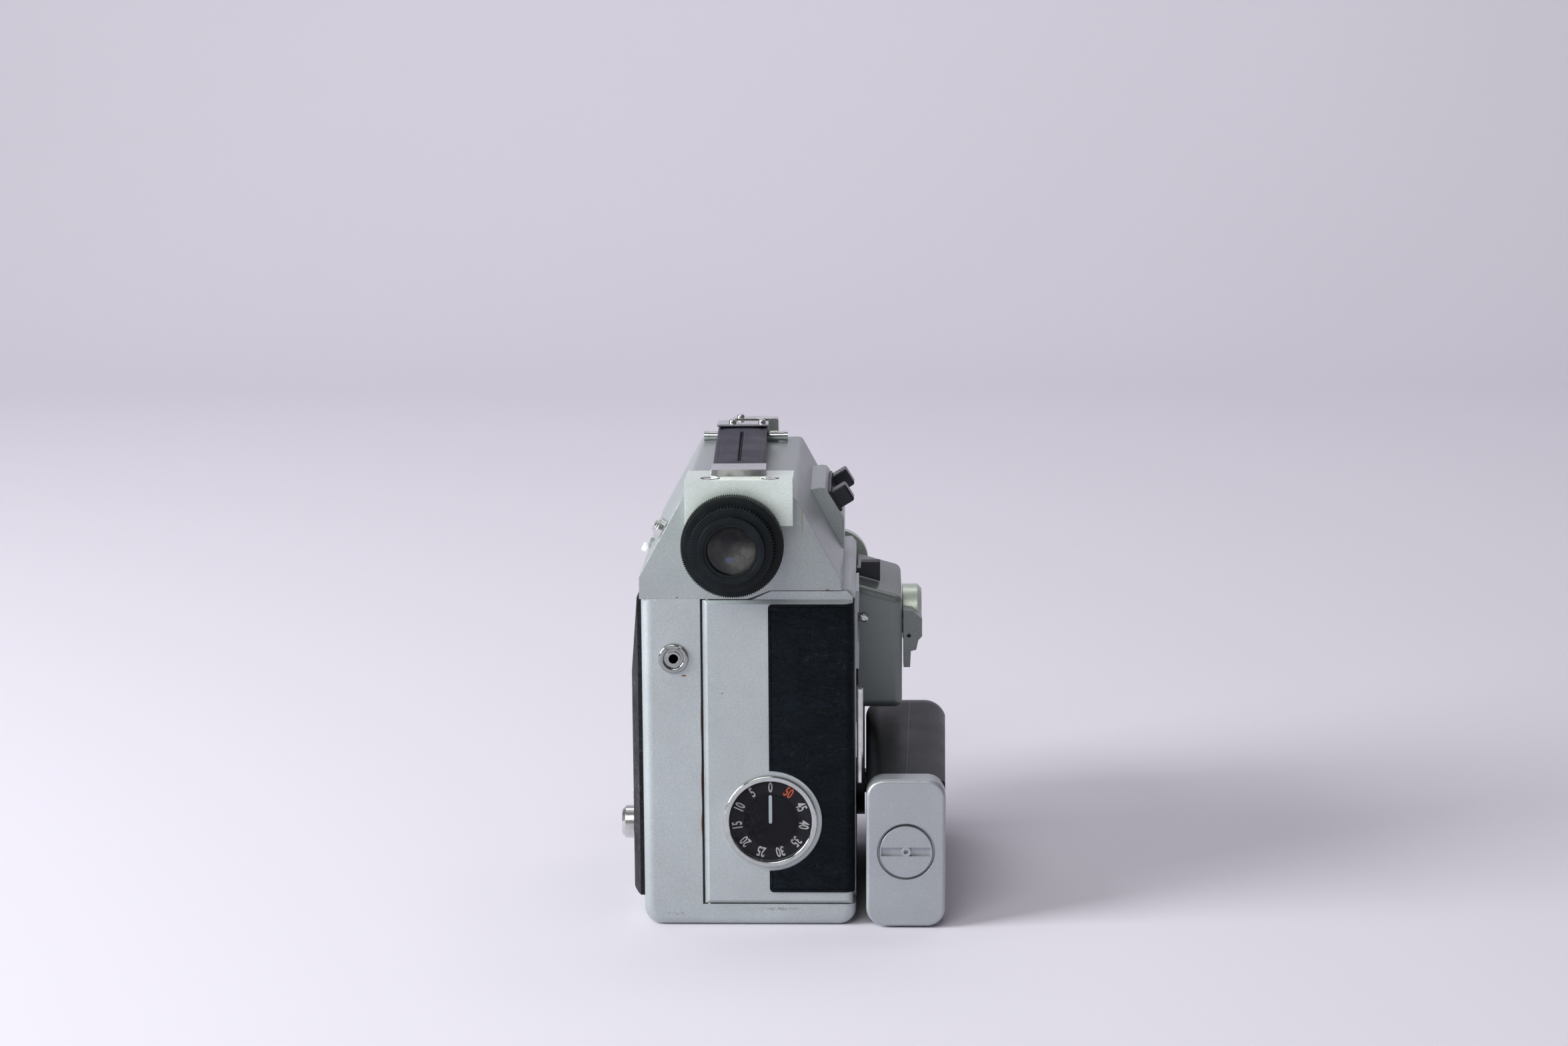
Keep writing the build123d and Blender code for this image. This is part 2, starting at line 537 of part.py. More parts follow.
check_button = Pos(0, 1.3, 1.6) * Cylinder(1.9, 2.0)
check_button = fillet(check_button.edges().sort_by(Axis.Z)[-1], 0.8)
check_button += Pos(0, 0, -2.4) * Cylinder(0.94, 7.0)
save("battery_check_button", check_plane * check_button)

# ---------------------------------------------------------------- side pod
pod = prism_y([(POD_LEFT, 50), (POD_RIGHT, 50), (POD_RIGHT, POD_HIGH_RIGHT),
               (POD_LEFT, POD_HIGH_LEFT)], POD_REAR, POD_FRONT, POD_RISE)
pod -= box(POD_LEFT - 5, POD_RIGHT + 5, POD_REAR - 5, POD_FRONT + 5, 40, POD_LOW)
pod = fillet([e for e in pod.edges() if (e @ 0.5).X > 45], 3.2)
pod += box(CASE_RIGHT, POD_LEFT + 2, 6, 52, 76, 114)
lug = prism_x([(34, 78), (34, PIVOT_Z), (62, PIVOT_Z), (56, 78)], CASE_RIGHT, 43.6)
lug += rod_x(14, CASE_RIGHT, 43.6, PIVOT_Y, PIVOT_Z)
pod += lug
pod -= box(43.6, 55.8, 3.0, 53.0, 76.5, 111.5)
pod -= rod_x(3.06, 50, 60, KNOB_Y, KNOB_Z)
pod -= rod_x(2.06, 50, 60, LEVER_Y, LEVER_Z)
pod -= box(47.5, 52.5, 50, 60, 83.0, 89.0)
pod -= rod_x(4.4, 38, 43.7, PIVOT_Y, PIVOT_Z)
save("side_pod", pod)

pod_screw = rod_y(1.9, -1.3, 0, 43.4, 107)
pod_screw = fillet(pod_screw.edges().sort_by(Axis.Y)[0], 1.0)
pod_screw -= Pos(43.4, -1.5, 107) * Rot(0, 35, 0) * Box(4.4, 1.0, 0.6)
save("pod_screw", pod_screw)

lock_knob = rod_x(11, 58.8, 66.4, KNOB_Y, KNOB_Z)
lock_knob = chamfer(lock_knob.edges().sort_by(Axis.X)[-1], 1.7)
lock_knob += rod_x(3.0, 54, 59, KNOB_Y, KNOB_Z) + rod_x(4.5, 53.4, 54.6, KNOB_Y, KNOB_Z)
lock_knob -= rod_x(8.0, 65.8, 70, KNOB_Y, KNOB_Z) - rod_x(3.0, 60, 70, KNOB_Y, KNOB_Z)
save("grip_lock_knob", lock_knob)

lever_points = [(58.8, 108.9), (62.4, 108.6), (66.3, 105.4), (66.3, 98.4), (64.8, 96.8),
                (64.0, 93.0), (61.9, 92.5), (61.6, 86.0), (59.0, 86.0)]
lever = prism_y(lever_points, LEVER_Y - 5, LEVER_Y + 5)
lever += rod_x(2.0, 54, 59, LEVER_Y, LEVER_Z) + rod_x(3.4, 53.4, 54.6, LEVER_Y, LEVER_Z)
lever -= rod_y(0.8, LEVER_Y - 6, LEVER_Y - 2, 61.1, 98.7)
save("grip_release_lever", lever)

switch_body = prism_y([(42.2, 121.3), (49.8, 119.2), (49.8, 126.9), (42.2, 126.9)], 12, 18)
for n in range(5):
    switch_body -= box(42, 50, 12.5 + n * 1.1, 12.95 + n * 1.1, 126.2, 127.5)
switch_body += box(40.6, 42.4, 12.0, 18.0, 121.3, 124.5) + box(36.4, 41, 13.4, 16.6, 121.3, 123.0)
switch_body += box(36.0, 37.6, 12.5, 17.5, 119.5, 123.3)
switch_body -= box(40.25, 42.0, 10, 19, 125.2, 128)
save("main_switch", switch_body)

pusher = box(47.7, 52.3, 44, 56.5, 83.2, 88.8)
pusher += prism_x([(56.5, 79), (63.5, 79.5), (62.0, 86), (63.5, 92.5), (56.5, 93)], 46, 54)
pusher += box(46.0, 54.0, 44, 46, 81.5, 90.5)
pusher = pusher.moved(Location((0, 4.0, 0)))
save("trigger", pusher)

# ---------------------------------------------------------------- zoom buttons
bezel = zoom_plane * (Pos(0, ZOOM_RAISE, 0.6) * Box(39.2, 9.0, 1.0))
for along in (-ZOOM_HALF, ZOOM_HALF):
    bezel -= zoom_plane * (Pos(along, ZOOM_RAISE, 0) * Box(8.0, 7.7, 12))
save("zoom_button_bezel", bezel)


def zoom_button(along):
    """Rocker-style push block standing on the right slope."""
    key = Box(7.6, 7.3, 10.2)
    key = fillet(key.edges().filter_by(Axis.Z), 0.6)
    key = fillet(key.edges().group_by(Axis.Z)[-1], 0.9)
    return zoom_plane * (Pos(along, ZOOM_RAISE, 2.1) * key)


save("zoom_tele_button", zoom_button(ZOOM_HALF))
save("zoom_wide_button", zoom_button(-ZOOM_HALF))

# ---------------------------------------------------------------- tripod socket
bush = rod_z(4.5, 0.0, 8.8, 0, 0) - rod_z(2.6, -1, 8.0, 0, 0)
bush += rod_z(4.5, 8.0, 8.8, 0, 0)
save("tripod_socket", bush)

# ---------------------------------------------------------------- film door
door = box(DOOR_LEFT, DOOR_RIGHT, DOOR_FACE, DOOR_BACK - 0.2, DOOR_BOTTOM, DOOR_TOP)
corner = [e for e in door.edges().filter_by(Axis.Z) if near(e, x=DOOR_RIGHT, y=DOOR_FACE)]
door = fillet(corner, 3.0)
door += box(37.8, DOOR_RIGHT, -60.0, DOOR_WRAP, DOOR_BOTTOM, DOOR_TOP)
door_crown = prism_y([(0.6, 125.5), (39.3, 125.5), (39.3, 127.2), (37.2, 129.3), (8.7, 129.3)],
                     -61.4, DOOR_BACK - 0.2)
door += door_crown
bevel = 1.3
door -= prism_x([(DOOR_FACE - 1, DOOR_BOTTOM - 1), (DOOR_FACE + bevel + 1, DOOR_BOTTOM - 1),
                 (DOOR_FACE - 1, DOOR_BOTTOM + bevel + 1)], -60, 60)
door -= prism_x([(DOOR_FACE - 1, DOOR_TOP + 1), (DOOR_FACE + bevel + 1, DOOR_TOP + 1),
                 (DOOR_FACE - 1, DOOR_TOP - bevel - 1)], -60, 60) & box(-60, 60, -70, -61.4, 0, 140)
door -= prism_z([(DOOR_LEFT - 1, DOOR_FACE - 1), (DOOR_LEFT + bevel + 1, DOOR_FACE - 1),
                 (DOOR_LEFT - 1, DOOR_FACE + bevel + 1)], 0, 140)
door += rod_z(KNUCKLE_R, DOOR_BOTTOM, DOOR_TOP, HINGE_X, HINGE_Y) - box(
    -30, 30, -70, DOOR_FACE + 1.3, 0, 130)
door -= rod_z(HINGE_BORE_R, 0, 140, HINGE_X, HINGE_Y)
door -= rod_y(15.6, -70, -61.4, COUNTER_X, COUNTER_Z)
door -= rod_y(1.06, -70, -50, COUNTER_X, COUNTER_Z)
save("film_door", door)

pin = rod_z(HINGE_PIN_R, 4.0, 131.0, HINGE_X, HINGE_Y)
save("door_hinge_pin", pin)

hide = box(7.7, DOOR_RIGHT + 0.6, DOOR_FACE - 0.6, -51.2, 13.7, 124.6)
hide_corner = [e for e in hide.edges().filter_by(Axis.Z) if near(e, x=DOOR_RIGHT + 0.6, y=-63.6)]
hide = fillet(hide_corner, 3.6)
hide = fillet([e for e in hide.edges().filter_by(Axis.Y) if near(e, x=7.7)], 1.6)
hide -= box(8.7, 9.0, -64, -63.35, 14.9, 123.4)
for line_z in (14.7, 123.3):
    hide -= box(8.7, 50, -64, -63.35, line_z, line_z + 0.3)
core = box(-20, DOOR_RIGHT, DOOR_FACE, -40, 0, 140)
core = fillet([e for e in core.edges().filter_by(Axis.Z) if near(e, x=DOOR_RIGHT, y=DOOR_FACE)], 3.0)
hide = hide - core
hide -= rod_y(19.4, -70, -60, COUNTER_X, COUNTER_Z)
save("door_leather", hide)

bezel_ring = ring_y(17.7, 15.5, -64.6, DOOR_FACE, COUNTER_X, COUNTER_Z)
outer_edge = bezel_ring.edges().filter_by(GeomType.CIRCLE).sort_by(Axis.Y)[0:2]
bezel_ring = fillet(outer_edge, 0.6)
save("counter_bezel", bezel_ring)

dial = ring_y(15.5, 1.3, -61.9, -61.4, COUNTER_X, COUNTER_Z)
save("counter_dial", dial)
save("counter_window", rod_y(15.4, -64.2, -63.4, COUNTER_X, COUNTER_Z))

pointer = rod_y(10.0, -62.9, -62.3, COUNTER_X, COUNTER_Z)
pointer += rod_y(1.0, -62.4, -58.2, COUNTER_X, COUNTER_Z)
pointer += box(COUNTER_X - 0.45, COUNTER_X + 0.45, -63.05, -62.8, COUNTER_Z - 1.2, COUNTER_Z + 9.6)
save("counter_pointer", pointer)

latch = box(40.6, 43.0, -48.6, -43.4, 52.0, 89.4)
latch = chamfer([e for e in latch.edges() if near(e, y=-48.6)], 0.6)
latch += box(36.6, 40.8, -47.0, -45.0, 62.0, 76.0) + box(35.4, 37.4, -47.2, -43, 60, 78)
save("door_latch", latch)

# ---------------------------------------------------------------- grip
nose_z = GRIP_LOW + GRIP_NOSE_R
back = Vector(GRIP_REAR, GRIP_HIGH)
nose = Vector(PIVOT_Y, nose_z)
reach = (nose - back).length
top_slope = math.atan2(nose_z - GRIP_HIGH, PIVOT_Y - GRIP_REAR) + math.asin(GRIP_NOSE_R / reach)
touch_y = PIVOT_Y - GRIP_NOSE_R * math.sin(top_slope)
touch_z = nose_z + GRIP_NOSE_R * math.cos(top_slope)
grip_side = [(GRIP_REAR, GRIP_LOW), (PIVOT_Y, GRIP_LOW), (PIVOT_Y, nose_z), (touch_y, touch_z),
             (GRIP_REAR, GRIP_HIGH)]
grip_profile = prism_x(grip_side, GRIP_LEFT, GRIP_RIGHT + GRIP_FLARE)
grip_profile += rod_x(GRIP_NOSE_R, GRIP_LEFT, GRIP_RIGHT + GRIP_FLARE, PIVOT_Y, nose_z)
side_rims = [e for e in grip_profile.edges() if (e @ 0.5).Y > GRIP_REAR + 1]
inner_rims = [e for e in side_rims if near(e, x=GRIP_LEFT)]
grip = fillet(inner_rims, 7.0)
outer_rims = [e for e in grip.edges() if near(e, x=GRIP_RIGHT + GRIP_FLARE)]
grip = fillet([e for e in outer_rims if (e @ 0.5).Y > GRIP_REAR + 1], 9.0)
flare = prism_z([(GRIP_RIGHT, GRIP_REAR - 1), (90, GRIP_REAR - 1), (90, 80),
                 (GRIP_RIGHT + GRIP_FLARE, 70)], -5, 70)
grip = grip - flare
grip -= box(46.4, 71.8, GRIP_REAR - 1, 0, 5.0, 52.2)
grip -= box(47.5, 71.0, 3.0, 34.0, 9.0, 48.0)
grip -= rod_x(PIVOT_BORE_R, 43, 66, PIVOT_Y, PIVOT_Z)
grip -= rod_x(8.2, 62.4, 66, PIVOT_Y, PIVOT_Z)
save("grip_shell", grip)

pivot = rod_x(PIVOT_PIN_R, 43.6, 62.6, PIVOT_Y, PIVOT_Z) + rod_x(8.1, 62.6, 65.6, PIVOT_Y, PIVOT_Z)
pivot += rod_x(4.4, 40.3, 43.8, PIVOT_Y, PIVOT_Z)
save("grip_pivot", pivot)

cells = []
for n in range(4):
    cell_x = 59.1 + (5.2 if n % 2 else -5.2)
    cell_z = 28.6 + (n - 1.5) * 10.3
    cell = rod_y(CELL_R, -53.0, -53.0 + CELL_LENGTH - 1.2, cell_x, cell_z)
    cell += rod_y(2.7, -4.0, -2.5, cell_x, cell_z)
    cells.append(cell.solid())
save("grip_batteries", Compound(children=cells))

contacts = box(47.0, 71.2, -2.0, -1.2, 6.0, 51.0)
for n in range(4):
    cell_x = 59.1 + (5.2 if n % 2 else -5.2)
    cell_z = 28.6 + (n - 1.5) * 10.3
    contacts += rod_y(2.0, -2.4, -1.9, cell_x, cell_z)
save("grip_contacts", contacts)

cap = box(GRIP_LEFT, GRIP_RIGHT, CAP_REAR, GRIP_REAR - 0.3, GRIP_LOW, 57.8)
cap = fillet([e for e in cap.edges().filter_by(Axis.Y)], 7.0)
cap = fillet([e for e in cap.edges() if near(e, y=CAP_REAR)], 1.4)
cap += box(47.2, 71.0, GRIP_REAR - 1, -54.0, 6.0, 51.2)
cap -= rod_y(COIN_R + 0.1, -70, -61.5, COIN_X, COIN_Z)
cap -= rod_y(COIN_R + 1.0, -70, -63.2, COIN_X, COIN_Z)
cap -= rod_y(3.06, -70, -50, COIN_X, COIN_Z)
save("battery_cap", cap)

coin = rod_y(COIN_R, -65.3, -61.8, COIN_X, COIN_Z) + rod_y(3.0, -62, -57, COIN_X, COIN_Z)
coin -= box(COIN_X - 9.25, COIN_X + 9.25, -66, -63.9, COIN_Z - 1.65, COIN_Z + 1.65)
coin += ring_y(1.9, 0.8, -65.3, -63.8, COIN_X, COIN_Z)
save("coin_lock", coin)
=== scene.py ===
import math

import bmesh
import bpy
from mathutils import Matrix, Vector
from mathutils.bvhtree import BVHTree


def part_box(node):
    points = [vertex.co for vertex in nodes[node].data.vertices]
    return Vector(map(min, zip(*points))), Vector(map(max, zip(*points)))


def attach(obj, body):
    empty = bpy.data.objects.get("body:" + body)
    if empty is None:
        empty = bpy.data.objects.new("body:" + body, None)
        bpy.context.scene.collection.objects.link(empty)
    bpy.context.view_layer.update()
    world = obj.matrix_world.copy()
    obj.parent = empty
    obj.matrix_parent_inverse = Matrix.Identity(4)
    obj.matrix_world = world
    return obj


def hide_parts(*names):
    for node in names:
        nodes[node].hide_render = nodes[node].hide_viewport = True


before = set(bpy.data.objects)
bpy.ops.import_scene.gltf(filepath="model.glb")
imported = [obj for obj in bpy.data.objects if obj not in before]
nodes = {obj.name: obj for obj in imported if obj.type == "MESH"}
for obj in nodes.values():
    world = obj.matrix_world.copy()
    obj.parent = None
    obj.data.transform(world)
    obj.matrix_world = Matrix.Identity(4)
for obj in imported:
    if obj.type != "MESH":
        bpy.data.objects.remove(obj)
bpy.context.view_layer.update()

scene = bpy.context.scene
MM = 0.001


# ------------------------------------------------------------------ node graph helpers
class Graph:
    """Small wrapper that builds one procedural material."""

    def __init__(self, name):
        self.mat = bpy.data.materials.new(name)
        self.mat.use_nodes = True
        self.nodes = self.mat.node_tree.nodes
        self.links = self.mat.node_tree.links
        self.bsdf = self.nodes["Principled BSDF"]
        self.coord = self.nodes.new("ShaderNodeTexCoord").outputs["Object"]

    def link(self, a, b):
        self.links.new(a, b)

    def mapping(self, scale=(1, 1, 1), rot=(0, 0, 0), loc=(0, 0, 0)):
        n = self.nodes.new("ShaderNodeMapping")
        n.inputs["Scale"].default_value = scale
        n.inputs["Rotation"].default_value = rot
        n.inputs["Location"].default_value = loc
        self.link(self.coord, n.inputs["Vector"])
        return n.outputs["Vector"]

    def noise(self, scale, detail=3.0, rough=0.55, vector=None, distortion=0.0):
        n = self.nodes.new("ShaderNodeTexNoise")
        n.inputs["Scale"].default_value = scale
        n.inputs["Detail"].default_value = detail
        n.inputs["Roughness"].default_value = rough
        n.inputs["Distortion"].default_value = distortion
        self.link(vector or self.coord, n.inputs["Vector"])
        return n.outputs["Fac"]

    def voronoi(self, scale, feature="F1", vector=None):
        n = self.nodes.new("ShaderNodeTexVoronoi")
        n.feature = feature
        n.inputs["Scale"].default_value = scale
        self.link(vector or self.coord, n.inputs["Vector"])
        return n.outputs["Distance"]

    def band(self, value, lo, hi, to_lo=0.0, to_hi=1.0):
        """Smooth step of a value from lo..hi to to_lo..to_hi."""
        n = self.nodes.new("ShaderNodeMapRange")
        n.interpolation_type = "SMOOTHSTEP"
        n.inputs["From Min"].default_value = lo
        n.inputs["From Max"].default_value = hi
        n.inputs["To Min"].default_value = to_lo
        n.inputs["To Max"].default_value = to_hi
        self.link(value, n.inputs["Value"])
        return n.outputs["Result"]

    def math(self, op, a, b=None, clamp=False):
        n = self.nodes.new("ShaderNodeMath")
        n.operation = op
        n.use_clamp = clamp
        for socket, value in zip(n.inputs, (a, b)):
            if value is None:
                continue
            if isinstance(value, (int, float)):
                socket.default_value = value
            else:
                self.link(value, socket)
        return n.outputs["Value"]

    def mix(self, factor, a, b):
        n = self.nodes.new("ShaderNodeMix")
        n.data_type = "RGBA"
        if isinstance(factor, (int, float)):
            n.inputs[0].default_value = factor
        else:
            self.link(factor, n.inputs[0])
        for socket, value in ((n.inputs[6], a), (n.inputs[7], b)):
            if isinstance(value, (tuple, list)):
                socket.default_value = (*value[:3], 1.0)
            else:
                self.link(value, socket)
        return n.outputs[2]

    def bevel_normal(self, radius):
        """Surface normal rounded over the edges by a radius, in metres."""
        n = self.nodes.new("ShaderNodeBevel")
        n.samples = 4
        n.inputs["Radius"].default_value = radius
        return n.outputs["Normal"]

    def edge_mask(self, bevelled):
        """1 along edges, where the rounded normal leaves the true one, and 0 on flat faces."""
        geo = self.nodes.new("ShaderNodeNewGeometry")
        dot = self.nodes.new("ShaderNodeVectorMath")
        dot.operation = "DOT_PRODUCT"
        self.link(bevelled, dot.inputs[0])
        self.link(geo.outputs["Normal"], dot.inputs[1])
        return self.band(self.math("SUBTRACT", 1.0, dot.outputs["Value"]), 0.02, 0.25)

    def bump(self, height, distance, normal=None, strength=1.0):
        n = self.nodes.new("ShaderNodeBump")
        n.inputs["Strength"].default_value = strength
        n.inputs["Distance"].default_value = distance
        self.link(height, n.inputs["Height"])
        if normal is not None:
            self.link(normal, n.inputs["Normal"])
        return n.outputs["Normal"]

    def spot(self, centre, size):
        """Soft mask, 1 at centre and 0 past an ellipsoid of the given half sizes."""
        place = self.mapping(scale=[1 / s for s in size],
                             loc=[-c / s for c, s in zip(centre, size)])
        length = self.nodes.new("ShaderNodeVectorMath")
        length.operation = "LENGTH"
        self.link(place, length.inputs[0])
        return self.band(length.outputs["Value"], 0.35, 1.0, 1.0, 0.0)

    def out(self, colour=None, rough=None, normal=None, metallic=0.0, roughness=0.5,
            coat=0.0, coat_roughness=0.1, ior=1.5):
        """Sets the shader: colour, rough and normal may be sockets, the rest are constants."""
        bsdf = self.bsdf.inputs
        if colour is not None:
            if isinstance(colour, (tuple, list)):
                bsdf["Base Color"].default_value = (*colour[:3], 1.0)
            else:
                self.link(colour, bsdf["Base Color"])
        bsdf["Metallic"].default_value = metallic
        bsdf["Roughness"].default_value = roughness
        if rough is not None:
            self.link(rough, bsdf["Roughness"])
        if normal is not None:
            self.link(normal, bsdf["Normal"])
        bsdf["Coat Weight"].default_value = coat
        bsdf["Coat Roughness"].default_value = coat_roughness
        bsdf["IOR"].default_value = ior
        return self.mat


def vary(g, base, amount=0.12, scale=60.0):
    """Slow cloudy change of a colour."""
    dark = [c * (1 - amount) for c in base]
    light = [min(1.0, c * (1 + amount)) for c in base]
    return g.mix(g.noise(scale, 4.0), dark, light)


# ------------------------------------------------------------------ materials
# Depths of grain and radii of worn edges are given to these in millimetres.
def silver_paint(name, base=(0.48, 0.52, 0.535), spots=(), wear=0.35, seed=0.0):
    """Satin silver enamel: metallic grain, dulled patches, worn edges, specks and rust.

    A spot is (centre, half sizes, colour, strength, cover), its sizes in millimetres.
    """
    g = Graph(name)
    shifted = g.mapping(loc=(seed, seed * 0.7, seed * 1.3))
    grain = g.noise(2600, 3.0, 0.65, shifted)
    cloud = g.noise(38, 4.0, 0.6, shifted)
    colour = g.mix(g.band(cloud, 0.3, 0.7), [c * 0.93 for c in base],
                   [min(1, c * 1.05) for c in base])
    colour = g.mix(g.band(grain, 0.42, 0.68, 0.0, 0.55), colour, [c * 0.66 for c in base])
    flake = g.band(g.noise(1700, 2.0, 0.7, shifted), 0.58, 0.72, 0.0, 0.5)
    colour = g.mix(flake, colour, [min(1, c * 1.35) for c in base])
    soft = g.bevel_normal(0.35 * MM)
    rim = g.edge_mask(soft)
    worn = g.math("MULTIPLY", rim, g.band(g.noise(420, 5.0, 0.7, shifted), 0.52, 0.66))
    colour = g.mix(g.math("MULTIPLY", worn, wear), colour, (0.30, 0.25, 0.19))
    specks = g.band(g.voronoi(620, vector=shifted), 0.0, 0.075, 1.0, 0.0)
    rare = g.band(g.noise(210, 1.0, 0.5, shifted), 0.60, 0.68)
    colour = g.mix(g.math("MULTIPLY", specks, rare), colour, (0.06, 0.05, 0.045))
    for centre, size, tint, strength, cover in spots:
        breakup = g.band(g.noise(900, 5.0, 0.75, shifted), 0.62 - cover * 0.3, 0.70 - cover * 0.3)
        place = g.spot([c * MM for c in centre], [v * MM for v in size])
        mask = g.math("MULTIPLY", place, breakup)
        colour = g.mix(g.math("MULTIPLY", mask, strength, True), colour, tint)
    scratch = g.noise(260, 2.0, 0.4, g.mapping(scale=(1, 1, 0.06), rot=(0.3, 0.2, 0.5)))
    height = g.math("ADD", grain, g.math("MULTIPLY", g.band(scratch, 0.30, 0.34), 0.4))
    rough = g.band(g.math("ADD", cloud, g.math("MULTIPLY", grain, 0.5)), 0.4, 1.1, 0.30, 0.46)
    normal = g.bump(height, 0.03 * MM, soft, 0.7)
    return g.out(colour, rough, normal, metallic=0.52, coat=0.12, coat_roughness=0.22)


def dark_plastic(name, base=(0.02, 0.022, 0.026), rough=(0.28, 0.46), grain=2600, depth=0.02,
                 edge=0.3, dust=0.25, ior=1.4):
    """Moulded dark plastic with a fine spark-eroded grain, rubbed edges and a little dust."""
    g = Graph(name)
    fine = g.noise(grain, 3.0, 0.6)
    cloud = g.noise(55, 4.0, 0.6)
    soft = g.bevel_normal(edge * MM)
    rim = g.edge_mask(soft)
    colour = g.mix(g.band(cloud, 0.3, 0.7), [c * 0.8 for c in base], [c * 1.25 for c in base])
    rubbed = g.math("MULTIPLY", rim, g.band(g.noise(500, 4.0), 0.45, 0.62, 0.0, 0.5))
    colour = g.mix(rubbed, colour, [c * 2.6 + 0.02 for c in base])
    flecks = g.band(g.voronoi(900), 0.0, 0.07, 1.0, 0.0)
    few = g.band(g.noise(300, 1.0), 0.56, 0.64, 0.0, dust)
    colour = g.mix(g.math("MULTIPLY", flecks, few), colour, (0.30, 0.30, 0.29))
    roughness = g.band(g.math("ADD", cloud, g.math("MULTIPLY", fine, 0.4)), 0.4, 1.0, *rough)
    return g.out(colour, roughness, g.bump(fine, depth * MM, soft, 0.7), ior=ior)


def leatherette(name, base, crease=(0.09, 0.095, 0.11), scale=1.0, tilt=0.35, depth=0.12,
                rough=(0.34, 0.56), creases=0.35, ior=1.25):
    """Grained black leatherette: pebbles, long drawn creases darkened with painted shade, and
    lighter ridges that are part rubbed wear and part painted highlight.
    """
    g = Graph(name)
    pebbles = g.voronoi(900 * scale, "SMOOTH_F1")
    drawn = g.mapping(scale=(0.36, 0.7, 1.0), rot=(0, tilt, 0))
    pull = g.noise(620 * scale, 4.0, 0.6, drawn, 0.5)
    folds = g.noise(210 * scale, 5.0, 0.62, drawn, 1.4)
    fold_lines = g.band(g.math("ABSOLUTE", g.math("SUBTRACT", folds, 0.5)), 0.0, 0.045, 1.0, 0.0)
    pull_lines = g.band(g.math("ABSOLUTE", g.math("SUBTRACT", pull, 0.5)), 0.0, 0.06, 1.0, 0.0)
    height = g.math("SUBTRACT", g.math("MULTIPLY", pebbles, 0.6),
                    g.math("ADD", g.math("MULTIPLY", fold_lines, 0.9),
                           g.math("MULTIPLY", pull_lines, 0.4)))
    cloud = g.noise(45, 3.0, 0.6)
    colour = g.mix(g.band(cloud, 0.3, 0.7), [c * 0.75 for c in base], [c * 1.3 for c in base])
    worn = g.band(g.noise(75 * scale, 3.0, 0.6, drawn), 0.40, 0.62)
    # Lighter ridges: part rubbed wear, part painted highlight on the wrinkles.
    ridge = g.math("MULTIPLY", g.band(g.noise(520 * scale, 6.0, 0.72, drawn, 0.8), 0.56, 0.66),
                   worn)
    colour = g.mix(g.math("MULTIPLY", ridge, creases), colour, crease)
    # Fold lines darkened in colour: painted shade in the creases.
    colour = g.mix(g.math("MULTIPLY", fold_lines, 0.6), colour, [c * 0.4 for c in base])
    soft = g.bevel_normal(0.3 * MM)
    rim = g.math("MULTIPLY", g.edge_mask(soft), g.band(g.noise(300, 4.0), 0.45, 0.6, 0.0, 0.4))
    colour = g.mix(rim, colour, [c * 2 + 0.02 for c in base])
    roughness = g.band(cloud, 0.3, 0.7, *rough)
    return g.out(colour, roughness, g.bump(height, depth * MM, soft), ior=ior)


def chrome(name, base=(0.56, 0.58, 0.57), rough=(0.06, 0.16), grain=0.0, dirt=0.4):
    """Plated metal with smears, tiny pits and dirt along its edges."""
    g = Graph(name)
    smear = g.noise(140, 5.0, 0.6)
    soft = g.bevel_normal(0.2 * MM)
    rim = g.edge_mask(soft)
    dirty = g.math("MULTIPLY", rim, g.band(g.noise(600, 4.0, 0.7), 0.5, 0.65, 0.0, dirt))
    colour = g.mix(g.band(smear, 0.35, 0.7), base, [c * 0.82 for c in base])
    colour = g.mix(dirty, colour, (0.10, 0.08, 0.06))
    pits = g.band(g.voronoi(1500), 0.0, 0.06, 1.0, 0.0)
    pits = g.math("MULTIPLY", pits, g.band(g.noise(400, 1.0), 0.58, 0.66))
    colour = g.mix(g.math("MULTIPLY", pits, 0.7), colour, (0.12, 0.10, 0.08))
    height = g.math("ADD", g.math("MULTIPLY", pits, -1.0),
                    g.math("MULTIPLY", g.noise(3000, 2.0), grain))
    return g.out(colour, g.band(smear, 0.3, 0.7, *rough),
                 g.bump(height, 0.01 * MM, soft, 0.5), metallic=1.0)


def rubber(name, base=(0.007, 0.010, 0.011), dust=0.5, rough=(0.36, 0.55)):
    """Old black rubber or knurled aluminium with dust caught in it."""
    g = Graph(name)
    cloud = g.noise(120, 4.0, 0.6)
    fine = g.noise(3400, 3.0, 0.7)
    soft = g.bevel_normal(0.18 * MM)
    rim = g.edge_mask(soft)
    colour = g.mix(g.band(cloud, 0.3, 0.7), [c * 0.75 for c in base], [c * 1.35 for c in base])
    bloom = g.math("MULTIPLY", rim, g.band(g.noise(700, 4.0), 0.4, 0.6, 0.0, dust * 0.6))
    colour = g.mix(bloom, colour, (0.14, 0.16, 0.16))
    flecks = g.band(g.voronoi(1100), 0.0, 0.10, 1.0, 0.0)
    colour = g.mix(g.math("MULTIPLY", flecks, g.band(g.noise(500, 2.0), 0.54, 0.62, 0.0, dust)),
                   colour, (0.42, 0.43, 0.42))
    return g.out(colour, g.band(cloud, 0.3, 0.7, *rough),
                 g.bump(fine, 0.02 * MM, soft, 0.6), ior=1.28)


def plain_metal(name, base):
    """Machined metal inside the case: turning marks and stains."""
    g = Graph(name)
    lines = g.noise(900, 3.0, 0.5, g.mapping(scale=(1.0, 0.04, 1.0)))
    colour = g.mix(g.band(g.noise(90, 4.0), 0.3, 0.7), [c * 0.8 for c in base], base)
    return g.out(colour, g.band(lines, 0.3, 0.7, 0.2, 0.4),
                 g.bump(lines, 0.01 * MM, g.bevel_normal(0.2 * MM)), metallic=1.0)


